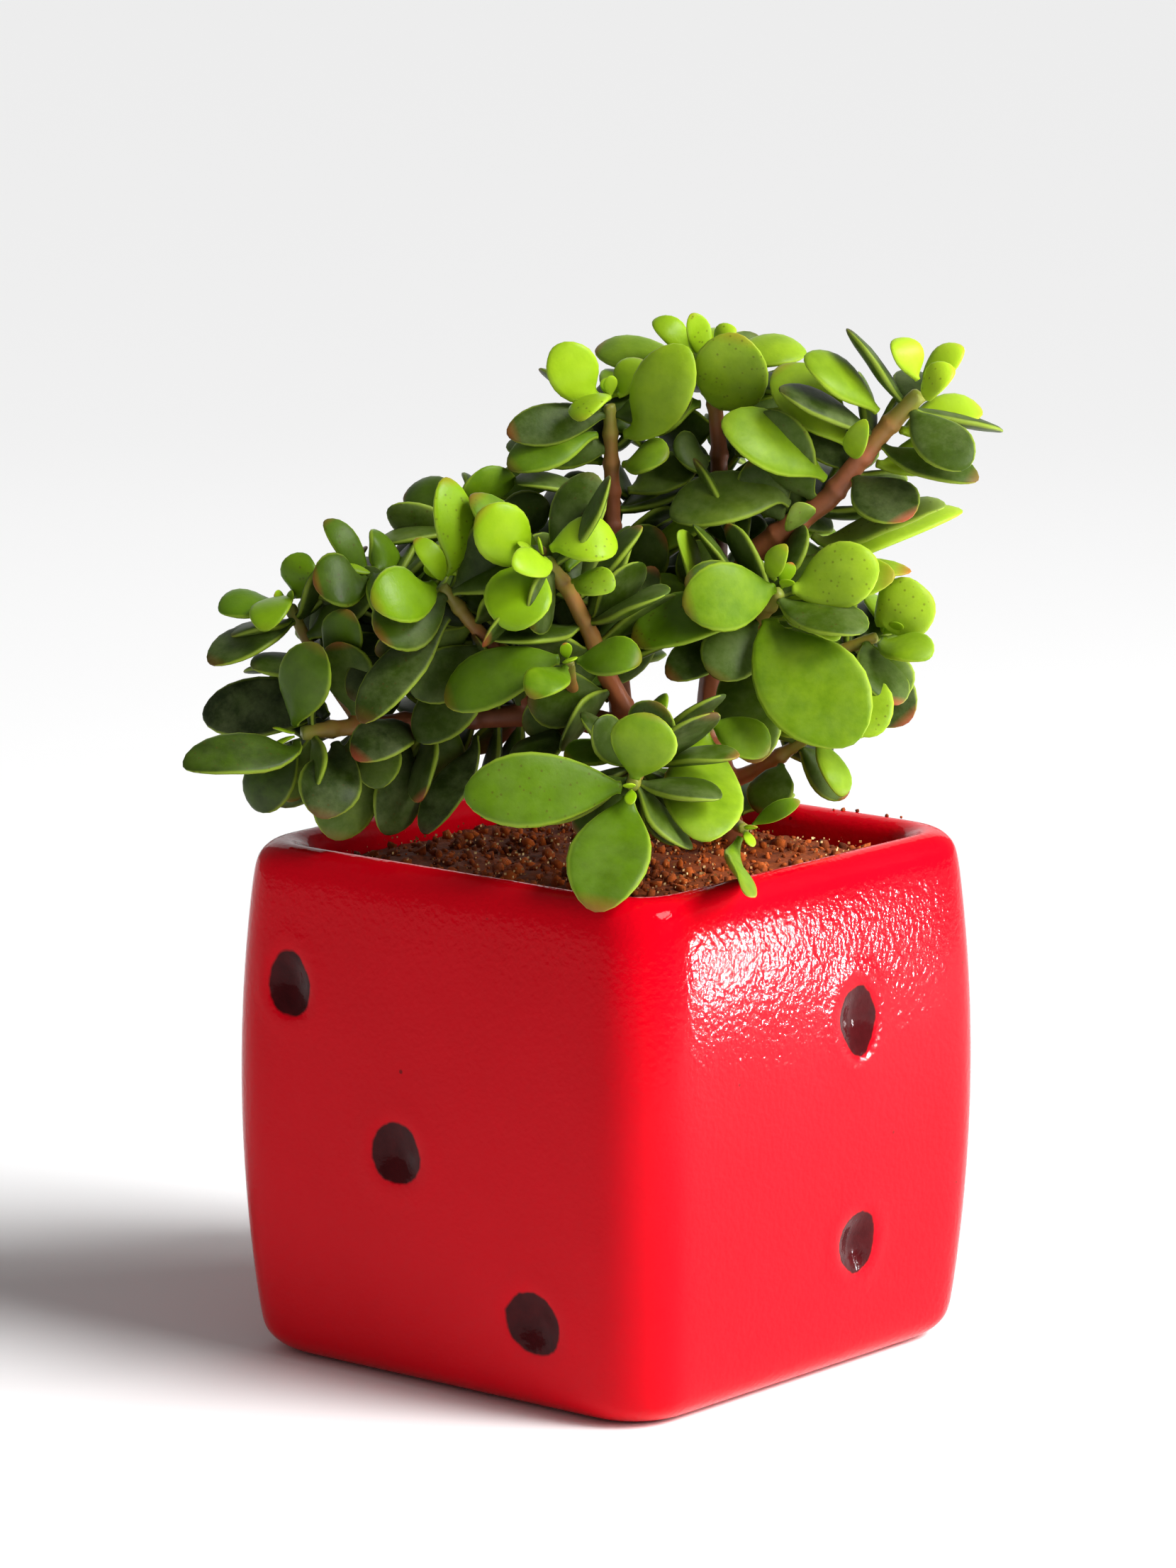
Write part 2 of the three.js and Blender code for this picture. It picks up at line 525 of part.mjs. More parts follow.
// Bends leaves away from each other and from the stem, as they do when they grow past each other.
function growApart(leaves) {
  const wood = sampleStem();
  const sides = new Map();
  const shift = new Map();
  const yieldBy = (leaf, direction, amount) => {
    shift.get(leaf).addScaledVector(direction.clone().multiply(YIELD), amount);
  };
  for (let round = 0; round < SETTLING_ROUNDS; round++) {
    for (const leaf of leaves) {
      shift.set(leaf, new THREE.Vector3());
      leaf.places = LEAF_PLACES.map(([s, t]) => ({ s, t, point: onLeaf(leaf, s, t) }));
      leaf.middle = onLeaf(leaf, 0.55, 0);
    }
    leaves.forEach((leaf, index) => leaves.forEach((other, otherIndex) => {
      const nearEnough = (leaf.length + other.length) / 2 + 4;
      if (leaf === other || leaf.middle.distanceTo(other.middle) > nearEnough) return;
      const key = index * leaves.length + otherIndex;
      if (!sides.has(key)) {
        const toMiddle = leaf.middle.clone().sub(other.middle).dot(other.face);
        sides.set(key, Math.sign(toMiddle) || 1);
      }
      const side = sides.get(key);
      for (const { s, t, point } of leaf.places) {
        const away = point.clone().sub(other.base);
        const x = away.dot(other.along) / other.length;
        if (x < 0.12 || x > 1.08) continue;
        const y = away.dot(other.across) / (outlineAt(x) * other.width / 2 + SIDE_MARGIN);
        if (Math.abs(y) > 1.12) continue;
        const height = side * (away.dot(other.face) - bowAt(other, x));
        const need = halfThickness(t) + halfThickness(y) + CLEARANCE;
        if (height > need || height < -DEEPEST_CROSSING) continue;
        const push = Math.min(LEAF_PUSH_DEPTH, need - height) * LEAF_PUSH;
        yieldBy(leaf, other.face, side * push);
        yieldBy(other, other.face, -side * push * x);
      }
    }));
    for (const leaf of leaves) {
      for (const { limb, point, radius } of wood) {
        if (leaf.limb === limb && point.distanceTo(leaf.centre) < 3) continue;
        const away = point.clone().sub(leaf.base);
        const x = away.dot(leaf.along) / leaf.length;
        if (x < 0.15 || x > 1.1) continue;
        const y = away.dot(leaf.across);
        if (Math.abs(y) > outlineAt(x) * leaf.width / 2 + radius + 0.4) continue;
        const height = away.dot(leaf.face) - bowAt(leaf, x);
        const lack = radius + LEAF_THICKNESS / 2 + CLEARANCE - Math.abs(height);
        if (lack < 0) continue;
        yieldBy(leaf, leaf.face, -(Math.sign(height) || 1) * lack * STEM_PUSH / Math.max(0.3, x));
      }
    }
    for (const leaf of leaves) {
      const move = shift.get(leaf).clampLength(0, LONGEST_MOVE);
      const length = leaf.length;
      leaf.tip.add(move);
      leaf.tip.sub(leaf.base).setLength(length).add(leaf.base);
      orient(leaf);
    }
  }
}

const SPREADING_ROUNDS = 60;
const JOIN_SPACE = 0.15;            // radians kept between the joins of two leaves
const LONGEST_BARE_ARC = 0.95;      // radians of collar between two of its corners

// Angles of the leaves round their node, pushed apart so that each has room to join the collar.
function anglesRound(leaves, first, second, room) {
  const list = leaves.map((leaf) => {
    const out = leaf.tip.clone().sub(leaf.centre);
    return { leaf, angle: Math.atan2(out.dot(second), out.dot(first)) };
  }).sort((a, b) => a.angle - b.angle);
  for (let round = 0; round < SPREADING_ROUNDS; round++) {
    list.forEach((item, k) => {
      const next = list[(k + 1) % list.length];
      const wrap = k + 1 === list.length ? 2 * Math.PI : 0;
      const lack = room - (next.angle + wrap - item.angle);
      if (lack > 0 && list.length > 1) {
        item.angle -= lack / 2;
        next.angle += lack / 2;
      }
    });
  }
  return list;
}

// The leaves of one node as one closed skin: a collar with a leaf drawn out of it at each angle.
function leafNode(leaves) {
  const { limb, centre, axis } = leaves[0];
  const at = NODES[leaves[0].node][1];
  const end = at === 1;
  const aside = Math.abs(axis.x) < 0.8 ? new THREE.Vector3(1, 0, 0) : UP;
  const first = new THREE.Vector3().crossVectors(axis, aside).normalize();
  const second = new THREE.Vector3().crossVectors(axis, first);
  const radius = limbRadius(limb, at);
  const bore = (radius + 1.5 * GAP) / Math.cos(Math.PI / STEM_SIDES);
  const outer = end ? radius + 0.5 : bore + COLLAR_WALL;
  const halfJoin = THREE.MathUtils.degToRad(leaves.length > 3 ? 27 : 30);
  const list = anglesRound(leaves, first, second, 2 * halfJoin + JOIN_SPACE);

  const points = [];
  const triangles = [];
  const quad = (a, b, c, d) => triangles.push(a, b, c, a, c, d);
  const place = (angle, distance, height) => points.push(centre.clone()
    .addScaledVector(first, distance * Math.cos(angle)).addScaledVector(second, distance * Math.sin(angle))
    .addScaledVector(axis, height)) - 1;

  const stops = [];
  list.forEach(({ leaf, angle }, k) => {
    stops.push({ angle: angle - halfJoin, leaf }, { angle, leaf }, { angle: angle + halfJoin });
    const following = list[(k + 1) % list.length].angle + (k + 1 === list.length ? 2 * Math.PI : 0);
    const space = following - angle - 2 * halfJoin;
    const parts = Math.floor(space / LONGEST_BARE_ARC);
    for (let p = 1; p <= parts; p++) stops.push({ angle: angle + halfJoin + space * p / (parts + 1) });
  });
  const half = COLLAR_HEIGHT / 2;
  for (const stop of stops) {
    stop.top = place(stop.angle, outer, half);
    stop.bottom = place(stop.angle, outer, -half);
    if (end) continue;
    stop.innerTop = place(stop.angle, bore, half);
    stop.innerBottom = place(stop.angle, bore, -half);
  }
  const cap = end ? place(0, 0, half + 0.5) : 0;
  const foot = end ? place(0, 0, -half) : 0;
  stops.forEach((stop, k) => {
    const next = stops[(k + 1) % stops.length];
    if (end) {
      triangles.push(cap, stop.top, next.top, foot, next.bottom, stop.bottom);
    } else {
      quad(stop.top, next.top, next.innerTop, stop.innerTop);
      quad(stop.bottom, stop.innerBottom, next.innerBottom, next.bottom);
      quad(stop.innerTop, next.innerTop, next.innerBottom, stop.innerBottom);
    }
    if (!stop.leaf) quad(stop.top, stop.bottom, next.bottom, next.top);
  });

  list.forEach(({ leaf, angle }) => {
    const start = stops.findIndex((stop) => stop.leaf === leaf);
    const [a, b, c] = [0, 1, 2].map((k) => stops[start + k]);
    let loop = [a.top, b.top, c.top, c.bottom, b.bottom, a.bottom];
    const out = first.clone().multiplyScalar(Math.cos(angle)).addScaledVector(second, Math.sin(angle));
    const round = new THREE.Vector3().crossVectors(axis, out);
    const root = centre.clone().addScaledVector(out, outer);
    const across = leaf.across.clone().multiplyScalar(leaf.across.dot(round) < 0 ? -1 : 1);
    const spine = new THREE.CubicBezierCurve3(
      root,
      root.clone().addScaledVector(out, leaf.length * LEAF_START),
      root.clone().lerp(leaf.tip, LEAF_TURN).addScaledVector(leaf.face, leaf.bow * 1.5),
      leaf.tip,
    );
    for (const [s, share] of OUTLINE) {
      const middle = spine.getPoint(s);
      const tangent = spine.getTangent(s);
      const blend = THREE.MathUtils.smoothstep(s, -0.1, 0.34);
      const wide = round.clone().lerp(across, blend);
      wide.addScaledVector(tangent, -wide.dot(tangent)).normalize();
      const thick = new THREE.Vector3().crossVectors(tangent, wide);
      const reach = share * leaf.width / 2;
      const deep = (LEAF_THICKNESS / 2) * (s > 0.9 ? 0.75 : 1);
      const rim = LEAF_EDGE / 2;
      const cup = leaf.face.clone().multiplyScalar(LEAF_CUP * reach);
      const spots = [[-reach, rim], [0, deep], [reach, rim], [reach, -rim], [0, -deep], [-reach, -rim]];
      const ring = spots.map(([x, z]) => points.push(middle.clone().addScaledVector(wide, x)
        .addScaledVector(thick, z).addScaledVector(cup, x === 0 ? 0 : 1)) - 1);
      loop.forEach((point, k) => quad(point, ring[k], ring[(k + 1) % 6], loop[(k + 1) % 6]));
      loop = ring;
    }
    const end = points.push(spine.getPoint(1)) - 1;
    loop.forEach((point, k) => triangles.push(point, end, loop[(k + 1) % 6]));
  });
  return closedGeometry(points, triangles);
}

// ---------------------------------------------------------------- the object
addMesh(object, 'pot', pot(), FINISH.glaze());
addMesh(object, 'soil', soil(), FINISH.soil());
addMesh(plant, 'stem', stem(), FINISH.bark());

const leaves = growLeaves();
growApart(leaves);
for (const name of Object.keys(NODES)) {
  const own = leaves.filter((leaf) => leaf.node === name);
  addMesh(plant, `leaves_${name}`, leafNode(own), FINISH[NODES[name][2]]());
}

export default object;
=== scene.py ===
# %% [markdown]
# # A jade plant in a glazed die pot
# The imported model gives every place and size: a square pot with swelling sides, peat, one branching
# stem and fifty-three sets of leaves. Its solids are faceted, as a workshop drawing is. Here each one
# is replaced by a finished surface in the same place: a thick clear glaze, crumbly coco peat, young
# bark, and plump leaves with a waxy skin.

# %% Load the frame
import json
import math

import bmesh
import bpy
import numpy as np
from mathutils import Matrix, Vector, noise
from mathutils.bvhtree import BVHTree


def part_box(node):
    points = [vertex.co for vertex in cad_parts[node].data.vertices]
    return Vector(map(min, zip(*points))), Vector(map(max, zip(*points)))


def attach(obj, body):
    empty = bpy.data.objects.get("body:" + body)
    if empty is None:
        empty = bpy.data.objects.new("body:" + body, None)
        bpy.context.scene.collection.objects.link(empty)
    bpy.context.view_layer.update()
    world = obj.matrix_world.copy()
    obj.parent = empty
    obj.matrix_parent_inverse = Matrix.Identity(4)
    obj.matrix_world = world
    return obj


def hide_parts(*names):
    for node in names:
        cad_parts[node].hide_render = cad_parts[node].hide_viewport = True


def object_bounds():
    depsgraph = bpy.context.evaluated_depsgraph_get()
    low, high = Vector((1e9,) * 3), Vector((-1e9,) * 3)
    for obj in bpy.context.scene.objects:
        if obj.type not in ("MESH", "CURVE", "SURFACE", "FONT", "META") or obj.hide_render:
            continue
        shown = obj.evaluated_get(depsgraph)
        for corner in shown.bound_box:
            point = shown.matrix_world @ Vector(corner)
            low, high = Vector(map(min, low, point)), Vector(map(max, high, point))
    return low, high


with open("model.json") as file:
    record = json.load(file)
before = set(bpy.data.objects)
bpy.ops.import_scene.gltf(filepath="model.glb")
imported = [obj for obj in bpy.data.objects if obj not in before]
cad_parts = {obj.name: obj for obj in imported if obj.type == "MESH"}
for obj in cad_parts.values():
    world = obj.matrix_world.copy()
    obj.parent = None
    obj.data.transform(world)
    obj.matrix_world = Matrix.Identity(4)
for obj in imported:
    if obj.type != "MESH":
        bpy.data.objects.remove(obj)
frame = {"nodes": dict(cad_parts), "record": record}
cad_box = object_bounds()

MM = 0.001
scene = bpy.context.scene
pot_low, pot_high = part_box("pot")
soil_low, soil_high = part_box("soil")
print("pot", [round(v / MM, 1) for v in (*pot_low, *pot_high)], "mm")

# %% [markdown]
# ## The camera
# The viewer looks at the upright edge between two sides of the pot from a little above, and from far
# enough away that the edges stay nearly parallel. A long lens does the same. The camera stands first,
# because every other choice is judged through it.

# %% Stand the camera
VIEW_TURN = math.radians(39.5)       # from the side with three pips towards the side with two
VIEW_HEIGHT = math.radians(13)
VIEW_DISTANCE = 1.2
SEEN_HEIGHT = 0.262                  # height of the field of view at the pot
RAISED = 0.0491                      # the view is centred this far above the middle of the pot
ASIDE = -0.0033                      # and this far to its right
POT_MIDDLE = 0.52                    # as a share of the pot's height
NEAREST_SEEN = 0.01

right = Vector((math.cos(VIEW_TURN), math.sin(VIEW_TURN), 0))
to_viewer = Vector((math.sin(VIEW_TURN) * math.cos(VIEW_HEIGHT),
                    -math.cos(VIEW_TURN) * math.cos(VIEW_HEIGHT), math.sin(VIEW_HEIGHT)))
pot_middle = Vector((0, 0, POT_MIDDLE * pot_high.z))
camera_data = bpy.data.cameras.new("camera")
camera = bpy.data.objects.new("camera", camera_data)
scene.collection.objects.link(camera)
camera.location = pot_middle + to_viewer * VIEW_DISTANCE
centre_of_view = pot_middle + right * ASIDE + to_viewer.cross(right) * RAISED
camera.rotation_euler = (centre_of_view - camera.location).to_track_quat("-Z", "Y").to_euler()
camera_data.lens = camera_data.sensor_width * VIEW_DISTANCE / SEEN_HEIGHT
camera_data.clip_start = NEAREST_SEEN
scene.camera = camera
print("lens", round(camera_data.lens, 1), "mm")

# %% [markdown]
# ## Helpers for finishes
# A finish is a Principled shader with a few patterns. Colours are written as sRGB hex values, as a
# paint chart gives them, and one function turns them to the linear values that light adds up in.
# Pattern sizes are real sizes in millimetres.

# %% Colours, pattern sizes and nodes
def linear(hex_colour):
    channels = [int(hex_colour[k:k + 2], 16) / 255 for k in (1, 3, 5)]
    return [c / 12.92 if c <= 0.04045 else ((c + 0.055) / 1.055) ** 2.4 for c in channels] + [1]


def per_metre(millimetres):
    return 1 / (millimetres * MM)


def add(material, kind, values=None, links=None, **settings):
    """Adds a node, with its settings, its input values and what feeds its other inputs."""
    node = material.node_tree.nodes.new("ShaderNode" + kind)
    for name, value in settings.items():
        setattr(node, name, value)
    for name, value in (values or {}).items():
        node.inputs[name].default_value = value
    for name, source in (links or {}).items():
        material.node_tree.links.new(source, node.inputs[name])
    return node


def new_finish(name, **values):
    material = bpy.data.materials.new(name)
    material.use_nodes = True
    shader = material.node_tree.nodes["Principled BSDF"]
    for socket, value in values.items():
        shader.inputs[socket.replace("_", " ")].default_value = value
    return material, shader


def feed(material, shader, socket, source):
    material.node_tree.links.new(source, shader.inputs[socket])


MIX_FACTOR, MIX_A, MIX_B, MIX_RESULT = 0, 6, 7, 2       # the colour sockets of a Mix node
print("mid grey", [round(channel, 3) for channel in linear("#808080")])

# %% [markdown]
# ## Helpers for meshes
# An operator acts on all that is selected, so everything is deselected before a piece is started.
# A finished piece keeps its place in its mesh and its object at the origin.

# %% Start and finish a piece
def start_clean():
    if bpy.context.mode != "OBJECT":
        bpy.ops.object.mode_set(mode="OBJECT")
    bpy.ops.object.select_all(action="DESELECT")


def take(piece):
    start_clean()
    bpy.context.view_layer.objects.active = piece
    piece.select_set(True)


def apply_modifier(piece, kind, **settings):
    take(piece)
    modifier = piece.modifiers.new(kind.lower(), kind)
    for name, value in settings.items():
        setattr(modifier, name, value)
    bpy.ops.object.modifier_apply(modifier=modifier.name)


def points_of(mesh):
    places = np.empty(len(mesh.vertices) * 3)
    mesh.vertices.foreach_get("co", places)
    return places.reshape(-1, 3)


def put_points(mesh, places):
    mesh.vertices.foreach_set("co", np.asarray(places, float).ravel())
    mesh.update()


def set_attribute(mesh, name, values):
    kind = "FLOAT" if np.ndim(values) == 1 else "FLOAT_VECTOR"
    attribute = mesh.attributes.new(name, kind, "POINT")
    key = "value" if kind == "FLOAT" else "vector"
    attribute.data.foreach_set(key, np.asarray(values, np.float32).ravel())


def new_piece(name, places, faces, material):
    mesh = bpy.data.meshes.new(name)
    mesh.from_pydata([tuple(p) for p in places], [], faces)
    piece = bpy.data.objects.new(name, mesh)
    scene.collection.objects.link(piece)
    mesh.materials.append(material)
    mesh.shade_smooth()
    return piece


def finish_piece(piece, slot, *stands_for):
    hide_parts(*stands_for)
    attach(piece, "root")
    print(piece.name, len(piece.data.polygons), "faces")


print("pieces to replace:", len(frame["nodes"]))

# %% [markdown]
# ## The red glaze
# The pot is earthenware in a bright opaque red under a thick clear coat. The coat gives the eye two
# things: sharp window-like highlights, and the faint orange-peel ripple that breaks them up. The pips
# are dabbed in dark maroon before the last coat, so their edges wander a little.

# %% Red glaze
def red_glaze():
    material, shader = new_finish("red_glaze_earthenware", Roughness=0.16, IOR=1.5,
                                  Specular_IOR_Level=0.09)
    place = add(material, "TexCoord").outputs["Object"]
    # The glaze is a little thicker in some places than in others, so the red drifts.
    clouds = add(material, "TexNoise", {"Scale": per_metre(22), "Detail": 3}, {"Vector": place})
    red = add(material, "Mix", {MIX_A: linear("#c90012"), MIX_B: linear("#d40218")},
              {MIX_FACTOR: clouds.outputs[0]}, data_type="RGBA")
    # A few dark iron specks, a fraction of a millimetre across.
    grit = add(material, "TexVoronoi", {"Scale": per_metre(9)}, {"Vector": place})
    speck = add(material, "MapRange", {"From Min": 0.03, "From Max": 0.05, "To Min": 0.8, "To Max": 0},
                {"Value": grit.outputs["Distance"]})
    specked = add(material, "Mix", {MIX_B: linear("#5a0608")},
                  {MIX_FACTOR: speck.outputs[0], MIX_A: red.outputs[MIX_RESULT]}, data_type="RGBA")
    # Maroon inside the pips, with an outline that wanders as a brush does.
    edge = add(material, "Attribute", attribute_name="pip_edge")
    wander = add(material, "TexNoise", {"Scale": per_metre(3), "Detail": 2}, {"Vector": place})
    wobble = add(material, "MapRange", {"To Min": -0.45, "To Max": 0.45}, {"Value": wander.outputs[0]})
    outline = add(material, "Math", links={0: edge.outputs["Fac"], 1: wobble.outputs[0]})
    inside = add(material, "MapRange", {"From Min": -0.22, "From Max": 0.22, "To Min": 1, "To Max": 0},
                 {"Value": outline.outputs[0]})
    maroon = add(material, "Mix", {MIX_A: linear("#2a080a"), MIX_B: linear("#4c1215")},
                 {MIX_FACTOR: wander.outputs[0]}, data_type="RGBA")
    colour = add(material, "Mix", links={MIX_FACTOR: inside.outputs[0], MIX_A: specked.outputs[MIX_RESULT],
                                         MIX_B: maroon.outputs[MIX_RESULT]}, data_type="RGBA")
    feed(material, shader, "Base Color", colour.outputs[MIX_RESULT])
    # Orange peel breaks a highlight into sparkles, and slow swirls bend its sides.
    peel = add(material, "TexNoise", {"Scale": per_metre(1.1), "Detail": 2}, {"Vector": place})
    ripple = add(material, "Bump", {"Strength": 1.0, "Distance": 0.08 * MM}, {"Height": peel.outputs[0]})
    swirl = add(material, "Bump", {"Strength": 0.5, "Distance": 0.2 * MM},
                {"Height": clouds.outputs[0], "Normal": ripple.outputs[0]})
    feed(material, shader, "Normal", swirl.outputs[0])
    smear = add(material, "MapRange", {"To Min": 0.03, "To Max": 0.13}, {"Value": clouds.outputs[0]})
    feed(material, shader, "Roughness", smear.outputs[0])
    return material


glaze = red_glaze()
print(glaze.name, len(glaze.node_tree.nodes), "nodes")

# %% [markdown]
# ## The pot
# The pot is slip-cast: an even wall, soft edges everywhere, sides that swell a little, and a rolled
# lip. It could be carved from a cube with bevels, but a cast wall follows one profile, so one rounded
# square is drawn and carried along that profile: under the base, up the side, over the lip and down
# the inside, extruded and resized at each step. Subdivision then gives the clay its softness.

# %% Profile of the pot
POT_HEIGHT = pot_high.z / MM
BELLY_HALF = pot_high.x / MM
BELLY_HEIGHT = 46
BASE_HALF = 43.4
RIM_HALF = 44
CORNER = 10.5
BASE_ROUNDING = 5
LIP_ROUNDING = 3.4
WALL = 6.8
FLOOR = 7
BASE_STEPS = 4
SIDE_STEPS = 13
LIP_STEPS = 6
LIP_RISE = 0.25                      # subdivision pulls the lip down by this much


def side_half(z):
    end = BASE_HALF if z < BELLY_HEIGHT else RIM_HALF
    reach = BELLY_HEIGHT if z < BELLY_HEIGHT else POT_HEIGHT - BELLY_HEIGHT
    return BELLY_HALF - (BELLY_HALF - end) * ((z - BELLY_HEIGHT) / reach) ** 2


def pot_profile():
    """Half width and height of each ring, from under the base to the middle of the floor."""
    rings = [(12, 0), (28, 0), (36, 0)]
    for k in range(BASE_STEPS + 1):
        angle = k / BASE_STEPS * math.pi / 2
        z = BASE_ROUNDING * (1 - math.cos(angle))
        rings.append((side_half(z) - BASE_ROUNDING * (1 - math.sin(angle)), z))
    lip_start = POT_HEIGHT - LIP_ROUNDING
    for k in range(1, SIDE_STEPS + 1):
        z = BASE_ROUNDING + (lip_start - BASE_ROUNDING) * k / SIDE_STEPS
        rings.append((side_half(z), z))
    for k in range(1, LIP_STEPS + 1):
        angle = k / LIP_STEPS * math.pi
        rings.append((RIM_HALF - WALL / 2 + WALL / 2 * math.cos(angle),
                      lip_start + (LIP_ROUNDING + LIP_RISE) * math.sin(angle)))
    inside = RIM_HALF - WALL
    return rings + [(inside, 78), (inside, 70), (inside, 40), (inside - 1.5, 14),
                    (inside - 5, FLOOR), (24, FLOOR), (10, FLOOR)]


print(len(pot_profile()), "rings, side half width at mid height", round(side_half(POT_HEIGHT / 2), 1), "mm")

# %% Carry a rounded square along the profile
CORNER_STEPS = 6
CUTS_PER_SIDE = 11
TOUCHING = 1e-6


def close_ends(pot, ends):
    """Fills the two open ends of the casting, under the base and on the floor inside."""
    for level, end_half in ends:
        work = bmesh.from_edit_mesh(pot.data)
        for vertex in work.verts:
            across = max(abs(vertex.co.x), abs(vertex.co.y))
            vertex.select = abs(vertex.co.z - level * MM) < TOUCHING and across < (end_half + 0.1) * MM
        work.select_flush(True)
        bmesh.update_edit_mesh(pot.data)
        bpy.ops.mesh.edge_face_add()
        bpy.ops.mesh.poke()


def cast_pot():
    profile = pot_profile()
    start_clean()
    bpy.ops.mesh.primitive_plane_add(size=2 * BELLY_HALF * MM, location=(0, 0, 0))
    pot = bpy.context.object
    pot.name = pot.data.name = "glazed_pot"
    bpy.ops.object.mode_set(mode="EDIT")
    bpy.ops.mesh.select_all(action="SELECT")
    bpy.ops.mesh.bevel(offset=CORNER * MM, segments=CORNER_STEPS, affect="VERTICES")
    work = bmesh.from_edit_mesh(pot.data)
    for edge in work.edges:
        edge.select = edge.calc_length() > BELLY_HALF * MM
    bmesh.update_edit_mesh(pot.data)
    bpy.ops.mesh.subdivide(number_cuts=CUTS_PER_SIDE)
    bpy.ops.mesh.select_all(action="SELECT")
    bpy.ops.mesh.delete(type="ONLY_FACE")
    bpy.ops.mesh.select_all(action="SELECT")
    half, height = profile[0]
    bpy.ops.transform.resize(value=(half / BELLY_HALF, half / BELLY_HALF, 1), center_override=(0, 0, 0))
    for next_half, next_height in profile[1:]:
        bpy.ops.mesh.extrude_edges_move(
            TRANSFORM_OT_translate={"value": (0, 0, (next_height - height) * MM)})
        bpy.ops.transform.resize(value=(next_half / half, next_half / half, 1),
                                 center_override=(0, 0, next_height * MM))
        half, height = next_half, next_height
    close_ends(pot, ((height, half), (0, profile[0][0])))
    bpy.ops.mesh.select_all(action="SELECT")
    bpy.ops.mesh.normals_make_consistent(inside=False)
    bpy.ops.object.mode_set(mode="OBJECT")
    apply_modifier(pot, "SUBSURF", levels=2, render_levels=2)
    pot.data.shade_smooth()
    return pot


pot = cast_pot()
print("pot", len(pot.data.polygons), "faces")

# %% [markdown]
# ## The pips
# Each pip is a thumb-soft hollow pressed into the side before firing, with a slight raised ring round
# it where the clay gave way. A boolean ball would leave a hard edge, so the clay is moved instead, and
# each point remembers how far it is from the pip's outline. The glaze reads that distance.

# %% Press the pips
# For each side: its turn about Z, then [across, height, half width, half height, drawn to a point].
PIPS = [
    (0, [(-30, 64.5, 4.9, 5.9, 0), (-6.5, 39.5, 5.5, 5.8, 0), (21.5, 15.5, 6.3, 5.5, 0)]),
    (90, [(8.6, 59.7, 5.3, 6.3, 0.32), (9.4, 22.3, 5.5, 5.5, 0.12)]),
    (180, [(-24, 64, 5.2, 5.5, 0), (24, 64, 5.4, 5.3, 0), (-24, 22, 5.1, 5.5, 0), (24, 22, 5.5, 5.4, 0)]),
    (270, [(-24, 64, 5.3, 5.5, 0), (24, 64, 5.1, 5.4, 0), (0, 43, 5.4, 5.6, 0),
           (-24, 22, 5.4, 5.2, 0), (24, 22, 5.2, 5.5, 0)]),
]
PIP_DEPTH = 1.6
PIP_RING = 0.16                      # height of the clay raised round a pip
RING_AT = 1.28                       # its place and width, in pip radii
RING_WIDTH = 0.17
PIP_OUTLINE = 0.93                   # the maroon stops here, in pip radii
PIP_REACH = 2.6                      # clay farther off than this isn't moved
FAR_FROM_PIP = 12.0
SIDE_MARGIN = 4.8                    # how far in from the rim's outside still counts as the side


def press_pips(pot):
    places = points_of(pot.data) / MM
    edge = np.full(len(places), FAR_FROM_PIP)
    for side_turn, pips in PIPS:
        turn = math.radians(side_turn)
        across = np.array([math.cos(turn), math.sin(turn), 0])
        out = np.array([math.sin(turn), -math.cos(turn), 0])
        on_side = places @ out > RIM_HALF - SIDE_MARGIN
        for x, z, wide, high, point in pips:
            u = (places @ across - x) / wide
            v = (places[:, 2] - z) / high
            u = u * (1 + point * np.clip(-v, 0, 1))
            angle = np.arctan2(v, u)
            reach = np.hypot(u, v) / (1 + 0.035 * np.cos(2 * angle + x) + 0.025 * np.cos(3 * angle + z))
            near = on_side & (reach < PIP_REACH)
            hollow = np.where(reach < 1, 0.5 + 0.5 * np.cos(np.pi * np.clip(reach, 0, 1)), 0) ** 0.8
            ring = np.exp(-((reach - RING_AT) / RING_WIDTH) ** 2)
            places[near] -= np.outer((PIP_DEPTH * hollow - PIP_RING * ring)[near], out)
            edge[near] = np.minimum(edge[near], ((reach - PIP_OUTLINE) * min(wide, high))[near])
    put_points(pot.data, places * MM)
    set_attribute(pot.data, "pip_edge", edge)


press_pips(pot)
pot.data.materials.append(glaze)
finish_piece(pot, "red_glaze", "pot")

# %% [markdown]
# ## Coco peat
# The soil is coconut pith: dark red-brown crumbs from dust to the size of a lentil, damp enough to
# stay dark, with pale straw-like fibres through it. One finish serves the bed and the crumbs, and
# each crumb carries its own shade.

# %% Coco peat and fibre
def coco_peat(name, dark, light, pattern):
    material, shader = new_finish(name, Roughness=0.93)
    place = add(material, "TexCoord").outputs["Object"]
    # Grains finer than a crumb, dark where they are damp and light where they stand up and dry.
    crumbs = add(material, "TexNoise", {"Scale": per_metre(pattern), "Detail": 5, "Roughness": 0.7},
                 {"Vector": place})
    shade = add(material, "Attribute", attribute_name="shade")
    both = add(material, "Math", links={0: crumbs.outputs[0], 1: shade.outputs["Fac"]})
    spread = add(material, "MapRange", {"From Min": 0.35, "From Max": 1.35}, {"Value": both.outputs[0]})
    colour = add(material, "Mix", {MIX_A: linear(dark), MIX_B: linear(light)},
                 {MIX_FACTOR: spread.outputs[0]}, data_type="RGBA")
    feed(material, shader, "Base Color", colour.outputs[MIX_RESULT])
    lumps = add(material, "Bump", {"Strength": 0.9, "Distance": 0.25 * MM}, {"Height": crumbs.outputs[0]})
    feed(material, shader, "Normal", lumps.outputs[0])
    return material


peat = coco_peat("moist_coco_peat", "#3c1004", "#b8581f", 0.7)
fibre = coco_peat("dry_coco_fibre", "#b4702c", "#ffe0a0", 0.5)
print(peat.name, fibre.name)

# %% [markdown]
# ## The bed of soil
# A grid is laid over the pot's opening, its corners are drawn in to follow the wall, noise raises it
# into clumps, and its border is extruded down to the floor and closed.

